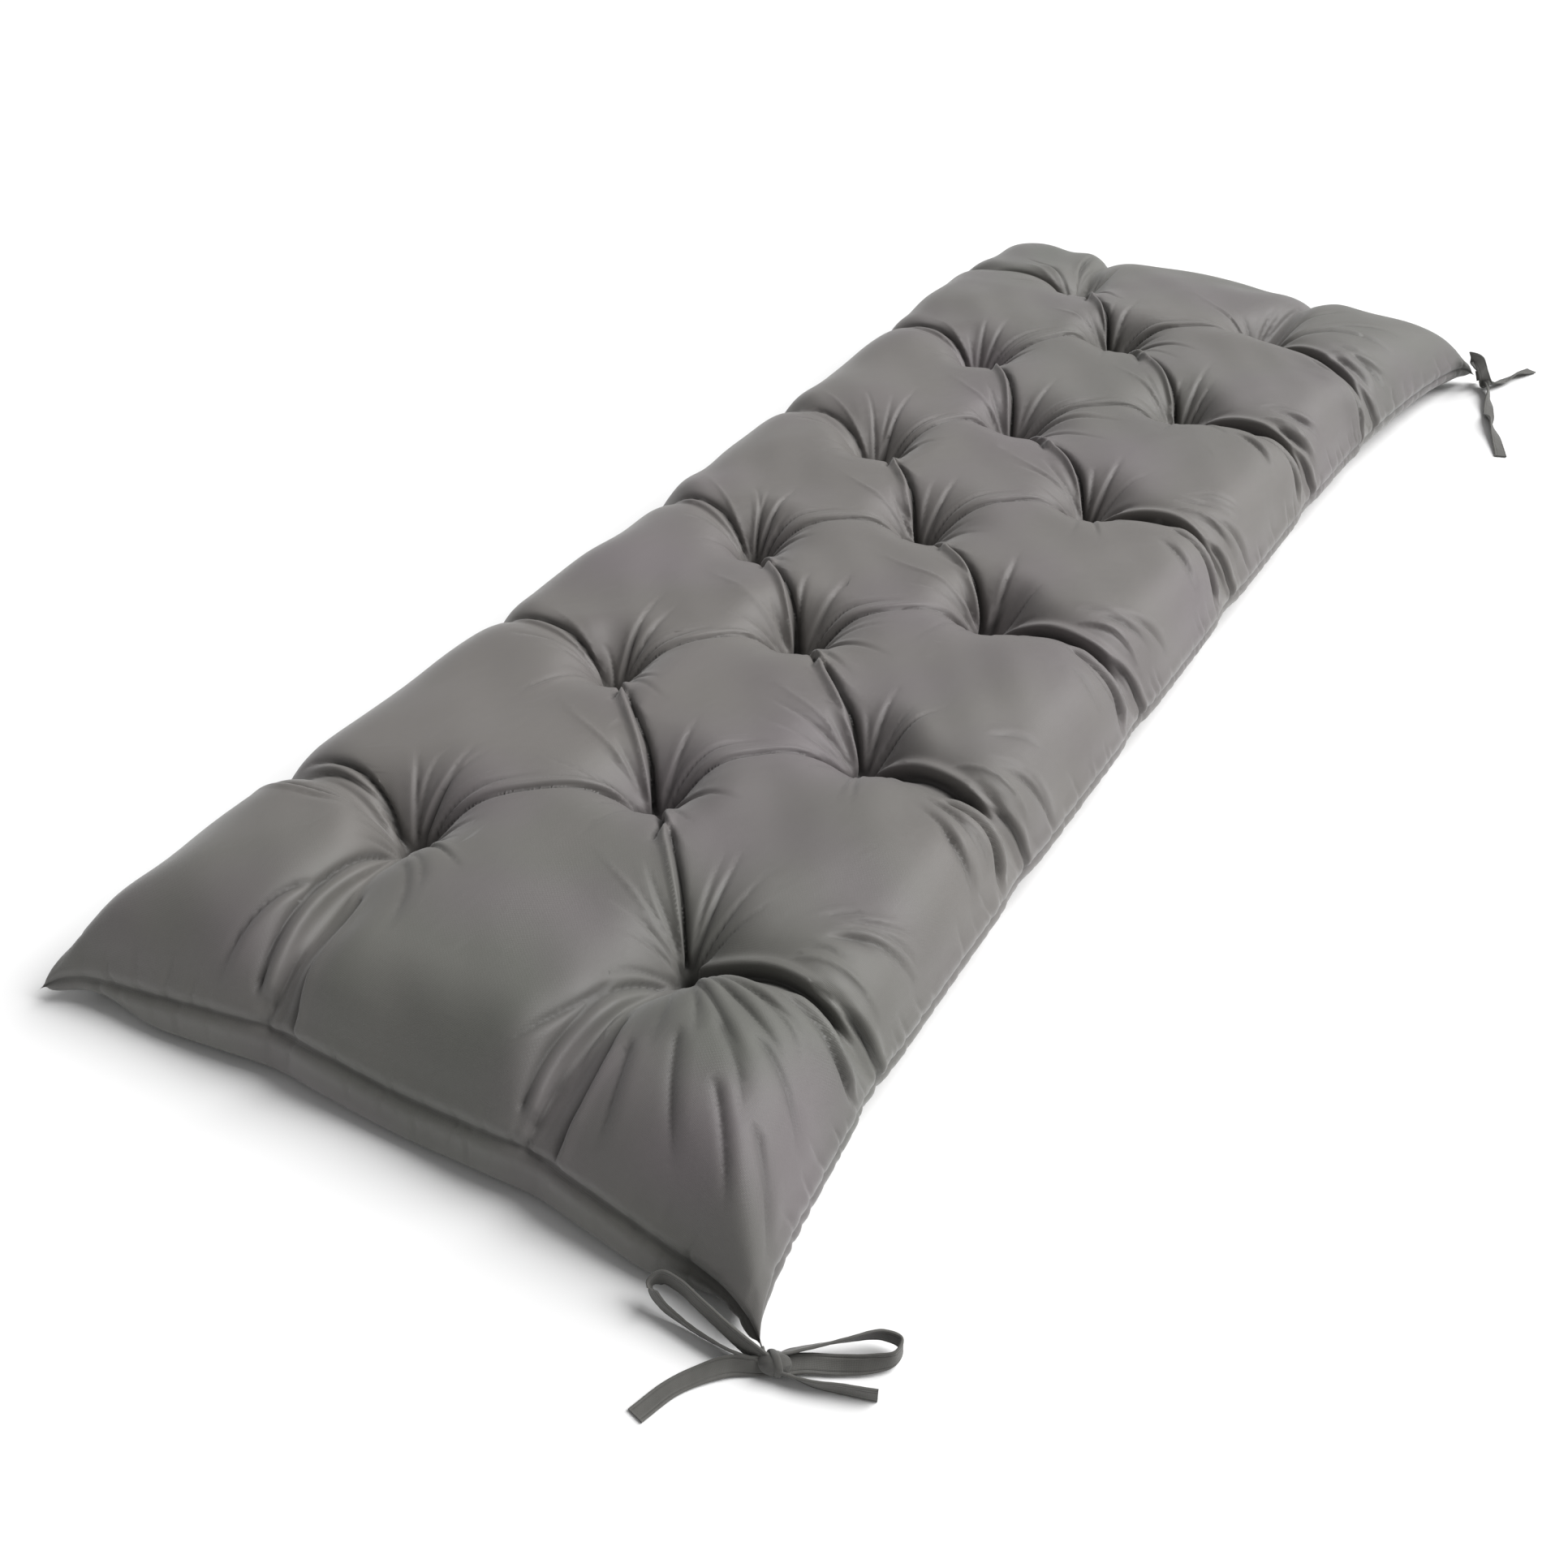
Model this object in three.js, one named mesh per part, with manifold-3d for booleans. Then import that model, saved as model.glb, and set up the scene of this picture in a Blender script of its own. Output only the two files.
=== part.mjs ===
// A tufted bench cushion with a tie at two of its corners.
// Millimetres, +Z up. +X runs across the cushion to the side with the ties, +Y along it to the far end.
// The origin is under the middle of the cushion, on the surface that it lies on. The tables of places
// below are measured from the middle of an even rectangle, and the whole group is centred at the end.
import * as THREE from 'three';
import { mergeVertices } from 'three/addons/utils/BufferGeometryUtils.js';
import Module from 'manifold-3d';

const wasm = await Module();
wasm.setup();

// ---- driving dimensions ----
const WIDTH = 500;            // across the corners
const LENGTH = 1340;          // along the corners
const CROWN = 101;            // height that the filling would reach without its tufts
const TUFT_PITCH = 196;       // between tufts of one column, and between the outer columns
const TUFT_TOP = 40;          // top panel at a tuft
const TUFT_UNDER = 22;        // bottom panel at a tuft, drawn up by the thread
const SEAM_HEIGHT = 28;       // seam between the corners
const CORNER_HEIGHT = 7;      // seam at a corner
const CORNER_REACH = 150;     // stretch over which the seam drops to a corner
const SIDE_DRAW_IN = 26;      // how far a long seam pulls in at its middle
const END_DRAW_IN = 25;       // how far an end seam pulls in at its middle
const NOTCH = 7;              // further pull where a fold runs into the seam
const NOTCH_REACH = 16;
const SIDE_SHOULDER = 105;    // how far in from a long seam the crown starts
const END_SHOULDER = 115;     // how far in from an end seam the crown starts
const FLAT_WIDTH = 456;       // part of the bottom panel that lies flat
const FLAT_LENGTH = 1296;

const COLUMN_X = TUFT_PITCH / 2;
const ROWS = [-2.5, -1.5, -0.5, 0.5, 1.5, 2.5].map((n) => n * TUFT_PITCH);
const MIDDLE_ROWS = [-2, -1, 0, 1, 2].map((n) => n * TUFT_PITCH);
const LAST_ROW = ROWS[ROWS.length - 1];
const HALF_WIDTH = WIDTH / 2;
const HALF_LENGTH = LENGTH / 2;

// How far each tuft is sewn off the even layout, from the near end to the far end.
const TUFT_SHIFTS = [
  { x: -COLUMN_X, ys: ROWS, dx: [-5, 4, -2, 7, 2, 9], dy: [-4, 6, 6, -10, -2, 4] },
  { x: 0, ys: MIDDLE_ROWS, dx: [6, -7, -5, -15, -13], dy: [4, 11, -4, -6, 6] },
  { x: COLUMN_X, ys: ROWS, dx: [5, 2, -3, -4, 0, 2], dy: [-13, 8, 7, -5, -11, -7] },
];
const SHIFT_REACH = 60;
const DRIFT_REACH = 75;

// Folds from an outer tuft to a long seam: how far along the seam they end from the tuft's row, how far
// the middle of the fold stays above its ends, and how wide the fold opens.
const SIDE_FOLDS = [
  { side: -1, row: 0, drift: 4, saddle: 34, reach: 50 },
  { side: -1, row: 1, drift: 22, saddle: 44, reach: 44 },
  { side: -1, row: 2, drift: 36, saddle: 42, reach: 46 },
  { side: -1, row: 3, drift: 28, saddle: 42, reach: 46 },
  { side: -1, row: 4, drift: 32, saddle: 42, reach: 44 },
  { side: -1, row: 5, drift: 8, saddle: 36, reach: 44 },
  { side: 1, row: 0, drift: -16, saddle: 38, reach: 50 },
  { side: 1, row: 1, drift: 0, saddle: 40, reach: 50 },
  { side: 1, row: 2, drift: 2, saddle: 40, reach: 52 },
  { side: 1, row: 3, drift: -9, saddle: 44, reach: 46 },
  { side: 1, row: 4, drift: -13, saddle: 40, reach: 50 },
  { side: 1, row: 5, drift: -62, saddle: 34, reach: 48 },
];

// Folds from the tufts nearest an end to that end's seam.
const END_FOLDS = [
  { end: -1, side: -1, drift: 15, saddle: 34, reach: 50 },
  { end: -1, side: 1, drift: -5, saddle: 32, reach: 54 },
  { end: 1, side: -1, drift: -22, saddle: 26, reach: 48 },
  { end: 1, side: 1, drift: 6, saddle: 34, reach: 44 },
];
const LATTICE_SADDLE = 44;
const LATTICE_REACH = 72;

// Where the four corners really lie, against an even rectangle.
const CORNER_SHIFTS = [
  { side: -1, end: -1, dx: 0, dy: 0 },
  { side: 1, end: -1, dx: 0, dy: 4 },
  { side: -1, end: 1, dx: 12, dy: 6 },
  { side: 1, end: 1, dx: 15, dy: 3 },
];

// ---- the cushion's form ----
const clamp01 = (value) => Math.min(1, Math.max(0, value));
const quarterRound = (q) => Math.sqrt(1 - (1 - clamp01(q)) ** 2);
const slope = (q) => 1 - (1 - clamp01(q)) ** 2;
const hump = (q) => 4 * q * (1 - q);

// The lower of two heights, with a soft change from one to the other.
function blendLow(a, b, softness) {
  const share = clamp01(0.5 + (0.5 * (b - a)) / softness);
  return b * (1 - share) + a * share - softness * share * (1 - share);
}

function seamHeight(s, t) {
  const fromCorner = Math.hypot(HALF_WIDTH - Math.abs(s), HALF_LENGTH - Math.abs(t));
  return CORNER_HEIGHT + (SEAM_HEIGHT - CORNER_HEIGHT) * Math.min(1, fromCorner / CORNER_REACH) ** 0.8;
}

// Every fold is a straight line on the flat panel, from one tuft to another tuft or to the seam.
function makeFolds() {
  const folds = [];
  for (const y of MIDDLE_ROWS) {
    for (const x of [-COLUMN_X, COLUMN_X]) {
      for (const step of [-COLUMN_X, COLUMN_X]) {
        folds.push({
          from: [x, y + step], to: [0, y], endHeight: TUFT_TOP, underEnd: TUFT_UNDER,
          saddle: LATTICE_SADDLE, reach: LATTICE_REACH,
        });
      }
    }
  }
  for (const { side, row, saddle, reach } of SIDE_FOLDS) {
    const from = [side * COLUMN_X, ROWS[row]];
    const to = [side * HALF_WIDTH, ROWS[row]];
    folds.push({ from, to, endHeight: SEAM_HEIGHT, underEnd: 0, saddle, reach });
  }
  for (const { end, side, saddle, reach } of END_FOLDS) {
    const from = [side * COLUMN_X, end * LAST_ROW];
    const to = [side * COLUMN_X, end * HALF_LENGTH];
    folds.push({ from, to, endHeight: SEAM_HEIGHT, underEnd: 0, saddle, reach });
  }
  return folds;
}
const FOLDS = makeFolds();

// The nearest place on a fold: how far along it, and how far away it is.
function nearestOnFold(fold, s, t) {
  const [fx, fy] = fold.from;
  const dx = fold.to[0] - fx;
  const dy = fold.to[1] - fy;
  const along = clamp01(((s - fx) * dx + (t - fy) * dy) / (dx * dx + dy * dy));
  return { along, away: Math.hypot(s - fx - along * dx, t - fy - along * dy) };
}

const FOLD_SOFTNESS = 5;
const SHOULDER_SOFTNESS = 20;
const PILLOW_SPARE = 6;       // the pillows' domes aim this far over the crown
const FAR_FALL = 16;          // how much thinner the filling is at the far end
const FAR_LEFT_FALL = 15;     // and how much more at that end's left side
const FAR_FALL_START = 430;
const LEFT_FALL_REACH = 150;
const UNDER_RISE_POWER = 1.2;  // how roundly the bottom panel leaves the surface
const UNDER_FOLD_REACH = 42;
const UNDER_SAG = 18;

function topHeight(s, t) {
  const seam = seamHeight(s, t);
  const farShare = clamp01((t - FAR_FALL_START) / (HALF_LENGTH - FAR_FALL_START));
  const crown = CROWN - farShare * (FAR_FALL + FAR_LEFT_FALL * clamp01(-s / LEFT_FALL_REACH));
  const rise = crown - seam;
  const sideDome = seam + rise * quarterRound((HALF_WIDTH - Math.abs(s)) / SIDE_SHOULDER);
  const endDome = seam + rise * quarterRound((HALF_LENGTH - Math.abs(t)) / END_SHOULDER);
  const dome = blendLow(sideDome, endDome, SHOULDER_SOFTNESS);
  let pillows = crown + PILLOW_SPARE;
  for (const fold of FOLDS) {
    const { along, away } = nearestOnFold(fold, s, t);
    const floor = TUFT_TOP + (fold.endHeight - TUFT_TOP) * along + fold.saddle * hump(along);
    const wall = floor + (crown + PILLOW_SPARE - floor) * slope(away / fold.reach);
    pillows = blendLow(pillows, wall, FOLD_SOFTNESS);
  }
  return Math.max(seam, blendLow(dome, pillows, SHOULDER_SOFTNESS));
}

function underHeight(s, t) {
  const sideRise = (2 * Math.abs(s) - FLAT_WIDTH) / (WIDTH - FLAT_WIDTH);
  const endRise = (2 * Math.abs(t) - FLAT_LENGTH) / (LENGTH - FLAT_LENGTH);
  let height = seamHeight(s, t) * clamp01(Math.max(sideRise, endRise)) ** UNDER_RISE_POWER;
  for (const fold of FOLDS) {
    const { along, away } = nearestOnFold(fold, s, t);
    const ridge = TUFT_UNDER + (fold.underEnd - TUFT_UNDER) * along - UNDER_SAG * hump(along);
    height = Math.max(height, Math.max(0, ridge) * (1 - slope(away / UNDER_FOLD_REACH)));
  }
  return height;
}

const bell = (distance, reach) => Math.exp(-((distance / reach) ** 2));

// Where a place on the flat panel lies, seen from above, once the cushion is filled and tufted.
function placeFromAbove(s, t) {
  const sideShare = clamp01((Math.abs(s) - COLUMN_X) / (HALF_WIDTH - COLUMN_X));
  const endShare = clamp01((Math.abs(t) - LAST_ROW) / (HALF_LENGTH - LAST_ROW));
  let sidePull = SIDE_DRAW_IN * (1 - Math.abs(t / HALF_LENGTH) ** 3.5);
  let endPull = END_DRAW_IN * (1 - Math.abs(s / HALF_WIDTH) ** 2.5);
  let x = s;
  let y = t;
  for (const { side, row, drift } of SIDE_FOLDS) {
    if (side * s <= 0) continue;
    sidePull += NOTCH * sideShare ** 2 * bell(t - ROWS[row], NOTCH_REACH);
    y += drift * sideShare * bell(t - ROWS[row], DRIFT_REACH) * (1 - endShare);
  }
  for (const { end, side, drift } of END_FOLDS) {
    if (end * t <= 0) continue;
    endPull += NOTCH * endShare ** 2 * bell(s - side * COLUMN_X, NOTCH_REACH);
    x += drift * endShare * bell(s - side * COLUMN_X, DRIFT_REACH) * (1 - sideShare);
  }
  x -= Math.sign(s) * sideShare * sidePull;
  y -= Math.sign(t) * endShare * endPull;
  const hold = (1 - sideShare ** 2) * (1 - endShare ** 2);
  for (const column of TUFT_SHIFTS) {
    column.ys.forEach((tuftY, i) => {
      const weight = hold * bell(Math.hypot(s - column.x, t - tuftY), SHIFT_REACH);
      x += weight * column.dx[i];
      y += weight * column.dy[i];
    });
  }
  for (const { side, end, dx, dy } of CORNER_SHIFTS) {
    const share = ((1 + (side * s) / HALF_WIDTH) / 2) * clamp01(end * Math.sign(t) * endShare);
    x += share * dx;
    y += share * dy;
  }
  return [x, y];
}

// ---- the cushion's mesh: two panels that share the seam ----
const CELLS_ACROSS = 10;      // between the outer tuft columns
const CELLS_ALONG = 50;       // between the first and the last tuft row
const MARGIN_CELLS = 7;       // from the outer tufts to the seam, closer towards the seam

function gridLines(inner, outer, cells) {
  const margin = [];
  for (let i = 1; i <= MARGIN_CELLS; i += 1) {
    margin.push(inner + (outer - inner) * (1 - (1 - i / MARGIN_CELLS) ** 1.3));
  }
  const middle = [];
  for (let i = 0; i <= cells; i += 1) middle.push(-inner + (2 * inner * i) / cells);
  return [...margin.map((value) => -value).reverse(), ...middle, ...margin];
}

function makeCushion() {
  const across = gridLines(COLUMN_X, HALF_WIDTH, CELLS_ACROSS);
  const along = gridLines(LAST_ROW, HALF_LENGTH, CELLS_ALONG);
  const lastColumn = across.length - 1;
  const lastRow = along.length - 1;
  const positions = [];
  const index = [];
  const onSeam = (i, j) => i === 0 || j === 0 || i === lastColumn || j === lastRow;

  function addPanel(heightAt, seamIds) {
    return along.map((t, j) => across.map((s, i) => {
      if (seamIds && onSeam(i, j)) return seamIds[j][i];
      const [x, y] = placeFromAbove(s, t);
      positions.push(x, y, onSeam(i, j) ? seamHeight(s, t) : heightAt(s, t));
      return positions.length / 3 - 1;
    }));
  }

  // Each cell is cut along the diagonal that lies closest to the real surface.
  function addCells(ids, heightAt, upwards) {
    for (let j = 0; j < lastRow; j += 1) {
      for (let i = 0; i < lastColumn; i += 1) {
        const [a, b, c, d] = [ids[j][i], ids[j][i + 1], ids[j + 1][i + 1], ids[j + 1][i]];
        const height = (id) => positions[3 * id + 2];
        const middle = heightAt((across[i] + across[i + 1]) / 2, (along[j] + along[j + 1]) / 2);
        let firstDiagonal = Math.abs((height(a) + height(c)) / 2 - middle)
          <= Math.abs((height(b) + height(d)) / 2 - middle);
        const inCornerColumn = i === 0 || i === lastColumn - 1;
        if (inCornerColumn && (j === 0 || j === lastRow - 1)) firstDiagonal = (i === 0) === (j === 0);
        const faces = firstDiagonal ? [[a, b, c], [a, c, d]] : [[a, b, d], [b, c, d]];
        for (const [p, q, r] of faces) index.push(...(upwards ? [p, q, r] : [p, r, q]));
      }
    }
  }

  const topIds = addPanel(topHeight, null);
  const underIds = addPanel(underHeight, topIds);
  addCells(topIds, topHeight, true);
  addCells(underIds, underHeight, false);

  const geometry = new THREE.BufferGeometry();
  geometry.setAttribute('position', new THREE.Float32BufferAttribute(positions, 3));
  geometry.setIndex(index);
  geometry.computeVertexNormals();
  return geometry;
}

// ---- the ties: one tape each, folded at its middle, sewn into a corner and knotted ----
const TAPE_WIDTH = 10.5;
const TAPE_THICKNESS = 2;
const TAPE_STEP = 5;

// Each stretch of tape follows the middle of its width. lean is the angle of the width from level:
// 0 lies flat, 90 stands on its edge.
const NEAR_LOOP_AND_TAIL = [
  { x: 250.4, y: -666.2, z: 7.5, lean: 88 },
  { x: 254, y: -668.4, z: 8, lean: 80 },
  { x: 261, y: -660, z: 9, lean: 45 },
  { x: 272, y: -650, z: 10, lean: 50 },
  { x: 284, y: -639, z: 11, lean: 62 },
  { x: 297, y: -628, z: 11, lean: 80 },
  { x: 307, y: -627, z: 10, lean: 88 },
  { x: 308, y: -635, z: 8.5, lean: 88 },
  { x: 299, y: -643, z: 6.5, lean: 60 },
  { x: 285, y: -651, z: 5, lean: 38 },
  { x: 270, y: -659, z: 5, lean: 25 },
  { x: 259, y: -668, z: 6, lean: 40 },
  { x: 248.5, y: -674.5, z: 5.8, lean: 64 },
  { x: 239, y: -679.5, z: 5, lean: 40 },
  { x: 229, y: -689, z: 2.6, lean: 8 },
  { x: 220, y: -703, z: 1.2, lean: 0 },
  { x: 213.5, y: -725, z: 1.1, lean: 0 },
];
const NEAR_SIDE_LOOP_AND_TAIL = [
  { x: 257, y: -670, z: 8, lean: 84 },
  { x: 244, y: -670, z: 12, lean: 78 },
  { x: 230, y: -668.5, z: 16, lean: 84 },
  { x: 214, y: -665.5, z: 19.5, lean: 86 },
  { x: 199, y: -662.5, z: 22, lean: 88 },
  { x: 189, y: -662.5, z: 22, lean: 90 },
  { x: 185, y: -666.5, z: 17, lean: 90 },
  { x: 192, y: -669, z: 10.5, lean: 82 },
  { x: 206, y: -670.5, z: 7, lean: 70 },
  { x: 222, y: -672, z: 6, lean: 62 },
  { x: 238, y: -672, z: 6, lean: 55 },
  { x: 252, y: -669, z: 5.5, lean: 50 },
  { x: 265, y: -669, z: 5, lean: 50 },
  { x: 278, y: -667.5, z: 5, lean: 66 },
  { x: 293, y: -663, z: 5.6, lean: 80 },
  { x: 310, y: -657, z: 5.5, lean: 86 },
];
const FAR_RING_AND_TAIL = [
  { x: 265.4, y: 673.2, z: 7.5, lean: 88 },
  { x: 268.6, y: 672.5, z: 9, lean: 70 },
  { x: 268.5, y: 664, z: 18, lean: 40 },
  { x: 263, y: 652, z: 30, lean: 60 },
  { x: 261, y: 646, z: 37, lean: 70 },
  { x: 267, y: 646, z: 36, lean: 84 },
  { x: 272, y: 650, z: 27, lean: 84 },
  { x: 275, y: 656, z: 17, lean: 70 },
  { x: 278, y: 663, z: 8, lean: 40 },
  { x: 284, y: 672, z: 4.5, lean: 30 },
  { x: 290, y: 688, z: 3.2, lean: 20 },
  { x: 296, y: 703, z: 4.5, lean: 50 },
  { x: 301, y: 716, z: 3, lean: 15 },
  { x: 307, y: 730, z: 1.4, lean: 0 },
];
const FAR_TAIL = [
  { x: 276, y: 665, z: 8, lean: 30 },
  { x: 281, y: 655, z: 6.5, lean: 60 },
  { x: 286, y: 640, z: 5.6, lean: 70 },
  { x: 291, y: 622, z: 3.4, lean: 25 },
  { x: 296, y: 604, z: 2.2, lean: 10 },
  { x: 302, y: 584, z: 5.3, lean: 75 },
  { x: 312, y: 562, z: 3.4, lean: 25 },
  { x: 326, y: 527, z: 1.2, lean: 0 },
];

function asSolid(geometry) {
  geometry.deleteAttribute('normal');
  geometry.deleteAttribute('uv');
  const merged = mergeVertices(geometry);
  return new wasm.Manifold(new wasm.Mesh({
    numProp: 3,
    vertProperties: new Float32Array(merged.getAttribute('position').array),
    triVerts: new Uint32Array(merged.getIndex().array),
  }));
}

function asGeometry(solid) {
  const mesh = solid.getMesh();
  const geometry = new THREE.BufferGeometry();
  geometry.setAttribute('position', new THREE.Float32BufferAttribute(mesh.vertProperties, 3));
  geometry.setIndex([...mesh.triVerts]);
  geometry.computeVertexNormals();
  return geometry;
}

// A flat tape swept along its route, as a closed box section.
function makeTape(route) {
  const curve = new THREE.CatmullRomCurve3(route.map(({ x, y, z }) => new THREE.Vector3(x, y, z)));
  const steps = Math.round(curve.getLength() / TAPE_STEP);
  const up = new THREE.Vector3(0, 0, 1);
  const positions = [];
  const index = [];
  for (let step = 0; step <= steps; step += 1) {
    const u = step / steps;
    const middle = curve.getPoint(u);
    const tangent = curve.getTangent(u);
    const level = new THREE.Vector3().crossVectors(tangent, up).normalize();
    const upright = new THREE.Vector3().crossVectors(level, tangent);
    const place = u * (route.length - 1);
    const row = Math.min(route.length - 2, Math.floor(place));
    const lean = THREE.MathUtils.lerp(route[row].lean, route[row + 1].lean, place - row);
    const angle = THREE.MathUtils.degToRad(lean);
    const across = level.clone().multiplyScalar(Math.cos(angle)).addScaledVector(upright, Math.sin(angle));
    const through = new THREE.Vector3().crossVectors(across, tangent);
    for (const [side, face] of [[-1, -1], [1, -1], [1, 1], [-1, 1]]) {
      const corner = middle.clone()
        .addScaledVector(across, (side * TAPE_WIDTH) / 2)
        .addScaledVector(through, (face * TAPE_THICKNESS) / 2);
      positions.push(corner.x, corner.y, Math.max(corner.z, 0));
    }
    if (step === steps) continue;
    for (let side = 0; side < 4; side += 1) {
      const here = 4 * step + side;
      const beside = 4 * step + ((side + 1) % 4);
      index.push(here, beside + 4, beside, here, here + 4, beside + 4);
    }
  }
  const last = 4 * steps;
  index.push(0, 1, 2, 0, 2, 3, last, last + 2, last + 1, last, last + 3, last + 2);
  const geometry = new THREE.BufferGeometry();
  geometry.setAttribute('position', new THREE.Float32BufferAttribute(positions, 3));
  geometry.setIndex(index);
  return geometry;
}

function makeKnot({ x, y, z, long, wide, high, turn }) {
  const geometry = new THREE.SphereGeometry(0.5, 12, 8);
  geometry.scale(long, wide, high);
  geometry.rotateZ(THREE.MathUtils.degToRad(turn));
  geometry.translate(x, y, z);
  return geometry;
}

const NEAR_KNOT = { x: 258.5, y: -668.5, z: 7.8, long: 17, wide: 13, high: 15, turn: 25 };
const FAR_KNOT = { x: 276, y: 664, z: 8, long: 13, wide: 12, high: 13, turn: -60 };

function makeTie(tapes, knot) {
  let solid = asSolid(makeKnot(knot));
  for (const tape of tapes) solid = solid.add(asSolid(makeTape(tape)));
  return asGeometry(solid);
}

// ---- materials and the part ----
const coverCloth = new THREE.MeshStandardMaterial({ color: 0x74726e, roughness: 0.62, metalness: 0 });
const tieTape = new THREE.MeshStandardMaterial({ color: 0x696864, roughness: 0.7, metalness: 0 });

function named(name, geometry, material) {
  const mesh = new THREE.Mesh(geometry, material);
  mesh.name = name;
  return mesh;
}

// The far corners lie off to one side, so all is moved back to put the origin under the middle.
const sidewaysReach = CORNER_SHIFTS.map(({ side, dx }) => side * HALF_WIDTH + dx);
const lengthwaysReach = CORNER_SHIFTS.map(({ end, dy }) => end * HALF_LENGTH + dy);
const group = new THREE.Group();
group.position.x = -(Math.min(...sidewaysReach) + Math.max(...sidewaysReach)) / 2;
group.position.y = -(Math.min(...lengthwaysReach) + Math.max(...lengthwaysReach)) / 2;
group.add(named('cushion', makeCushion(), coverCloth));
group.add(named('tie_near', makeTie([NEAR_LOOP_AND_TAIL, NEAR_SIDE_LOOP_AND_TAIL], NEAR_KNOT), tieTape));
group.add(named('tie_far', makeTie([FAR_RING_AND_TAIL, FAR_TAIL], FAR_KNOT), tieTape));

export default group;
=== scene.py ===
import math
from collections import namedtuple

import bpy
import numpy as np
from bpy.props import FloatProperty, FloatVectorProperty, IntProperty, PointerProperty
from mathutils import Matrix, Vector


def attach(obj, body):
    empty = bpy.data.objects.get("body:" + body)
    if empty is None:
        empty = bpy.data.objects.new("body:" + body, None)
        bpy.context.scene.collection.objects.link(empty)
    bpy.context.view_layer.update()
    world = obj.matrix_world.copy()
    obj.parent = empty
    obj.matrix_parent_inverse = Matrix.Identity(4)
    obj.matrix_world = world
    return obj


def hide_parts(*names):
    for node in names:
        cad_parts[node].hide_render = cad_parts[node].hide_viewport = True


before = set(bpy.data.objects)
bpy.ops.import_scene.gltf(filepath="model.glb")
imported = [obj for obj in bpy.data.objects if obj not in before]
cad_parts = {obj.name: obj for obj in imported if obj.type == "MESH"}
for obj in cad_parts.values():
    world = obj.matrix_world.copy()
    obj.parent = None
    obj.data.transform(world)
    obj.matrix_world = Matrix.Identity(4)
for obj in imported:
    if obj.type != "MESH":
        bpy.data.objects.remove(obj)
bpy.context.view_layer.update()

bl_info = {
    "name": "Tufted bench cushion",
    "version": (1, 0, 0),
    "blender": (4, 5, 0),
    "location": "View3D > Sidebar > Cushion",
    "description": "Makes a tufted bench cushion with two ties, its cloth and its stage",
    "category": "Add Mesh",
}

MM = 0.001
COVER_NODE, NEAR_TIE_NODE, FAR_TIE_NODE = "cushion", "tie_near", "tie_far"

# Tables of the sewing pattern, in millimetres from the middle of the flat panel.
# Each column of tufts: its place across, its rows, and how far each tuft is sewn off the even layout.
PITCH = 196
OUTER_ROWS = [(n - 2.5) * PITCH for n in range(6)]
MIDDLE_ROWS = [(n - 2) * PITCH for n in range(5)]
COLUMN_X = PITCH / 2
LAST_ROW = OUTER_ROWS[-1]
TUFTS = [
    (-COLUMN_X, OUTER_ROWS, [-5, 4, -2, 7, 2, 9], [-4, 6, 6, -10, -2, 4]),
    (0, MIDDLE_ROWS, [6, -7, -5, -15, -13], [4, 11, -4, -6, 6]),
    (COLUMN_X, OUTER_ROWS, [5, 2, -3, -4, 0, 2], [-13, 8, 7, -5, -11, -7]),
]
# Folds from an outer tuft to a long seam: side, row, drift along the seam, saddle height, reach.
SIDE_FOLDS = [
    (-1, 0, 4, 43, 44), (-1, 1, 22, 53, 38), (-1, 2, 36, 51, 40),
    (-1, 3, 28, 51, 40), (-1, 4, 32, 51, 38), (-1, 5, 8, 45, 38),
    (1, 0, -16, 42, 46), (1, 1, 0, 44, 46), (1, 2, 2, 44, 48),
    (1, 3, -9, 48, 42), (1, 4, -13, 44, 46), (1, 5, -62, 38, 44),
]
# Folds from the tufts nearest an end to its seam: end, side, drift, saddle height, reach.
END_FOLDS = [(-1, -1, 15, 34, 50), (-1, 1, -5, 32, 54), (1, -1, -22, 26, 48), (1, 1, 6, 34, 44)]
# Where the corners lie against an even rectangle: side, end, across, along.
CORNER_SHIFTS = [(-1, -1, 0, 0), (1, -1, 0, 4), (-1, 1, 12, 6), (1, 1, 15, 3)]
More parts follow.
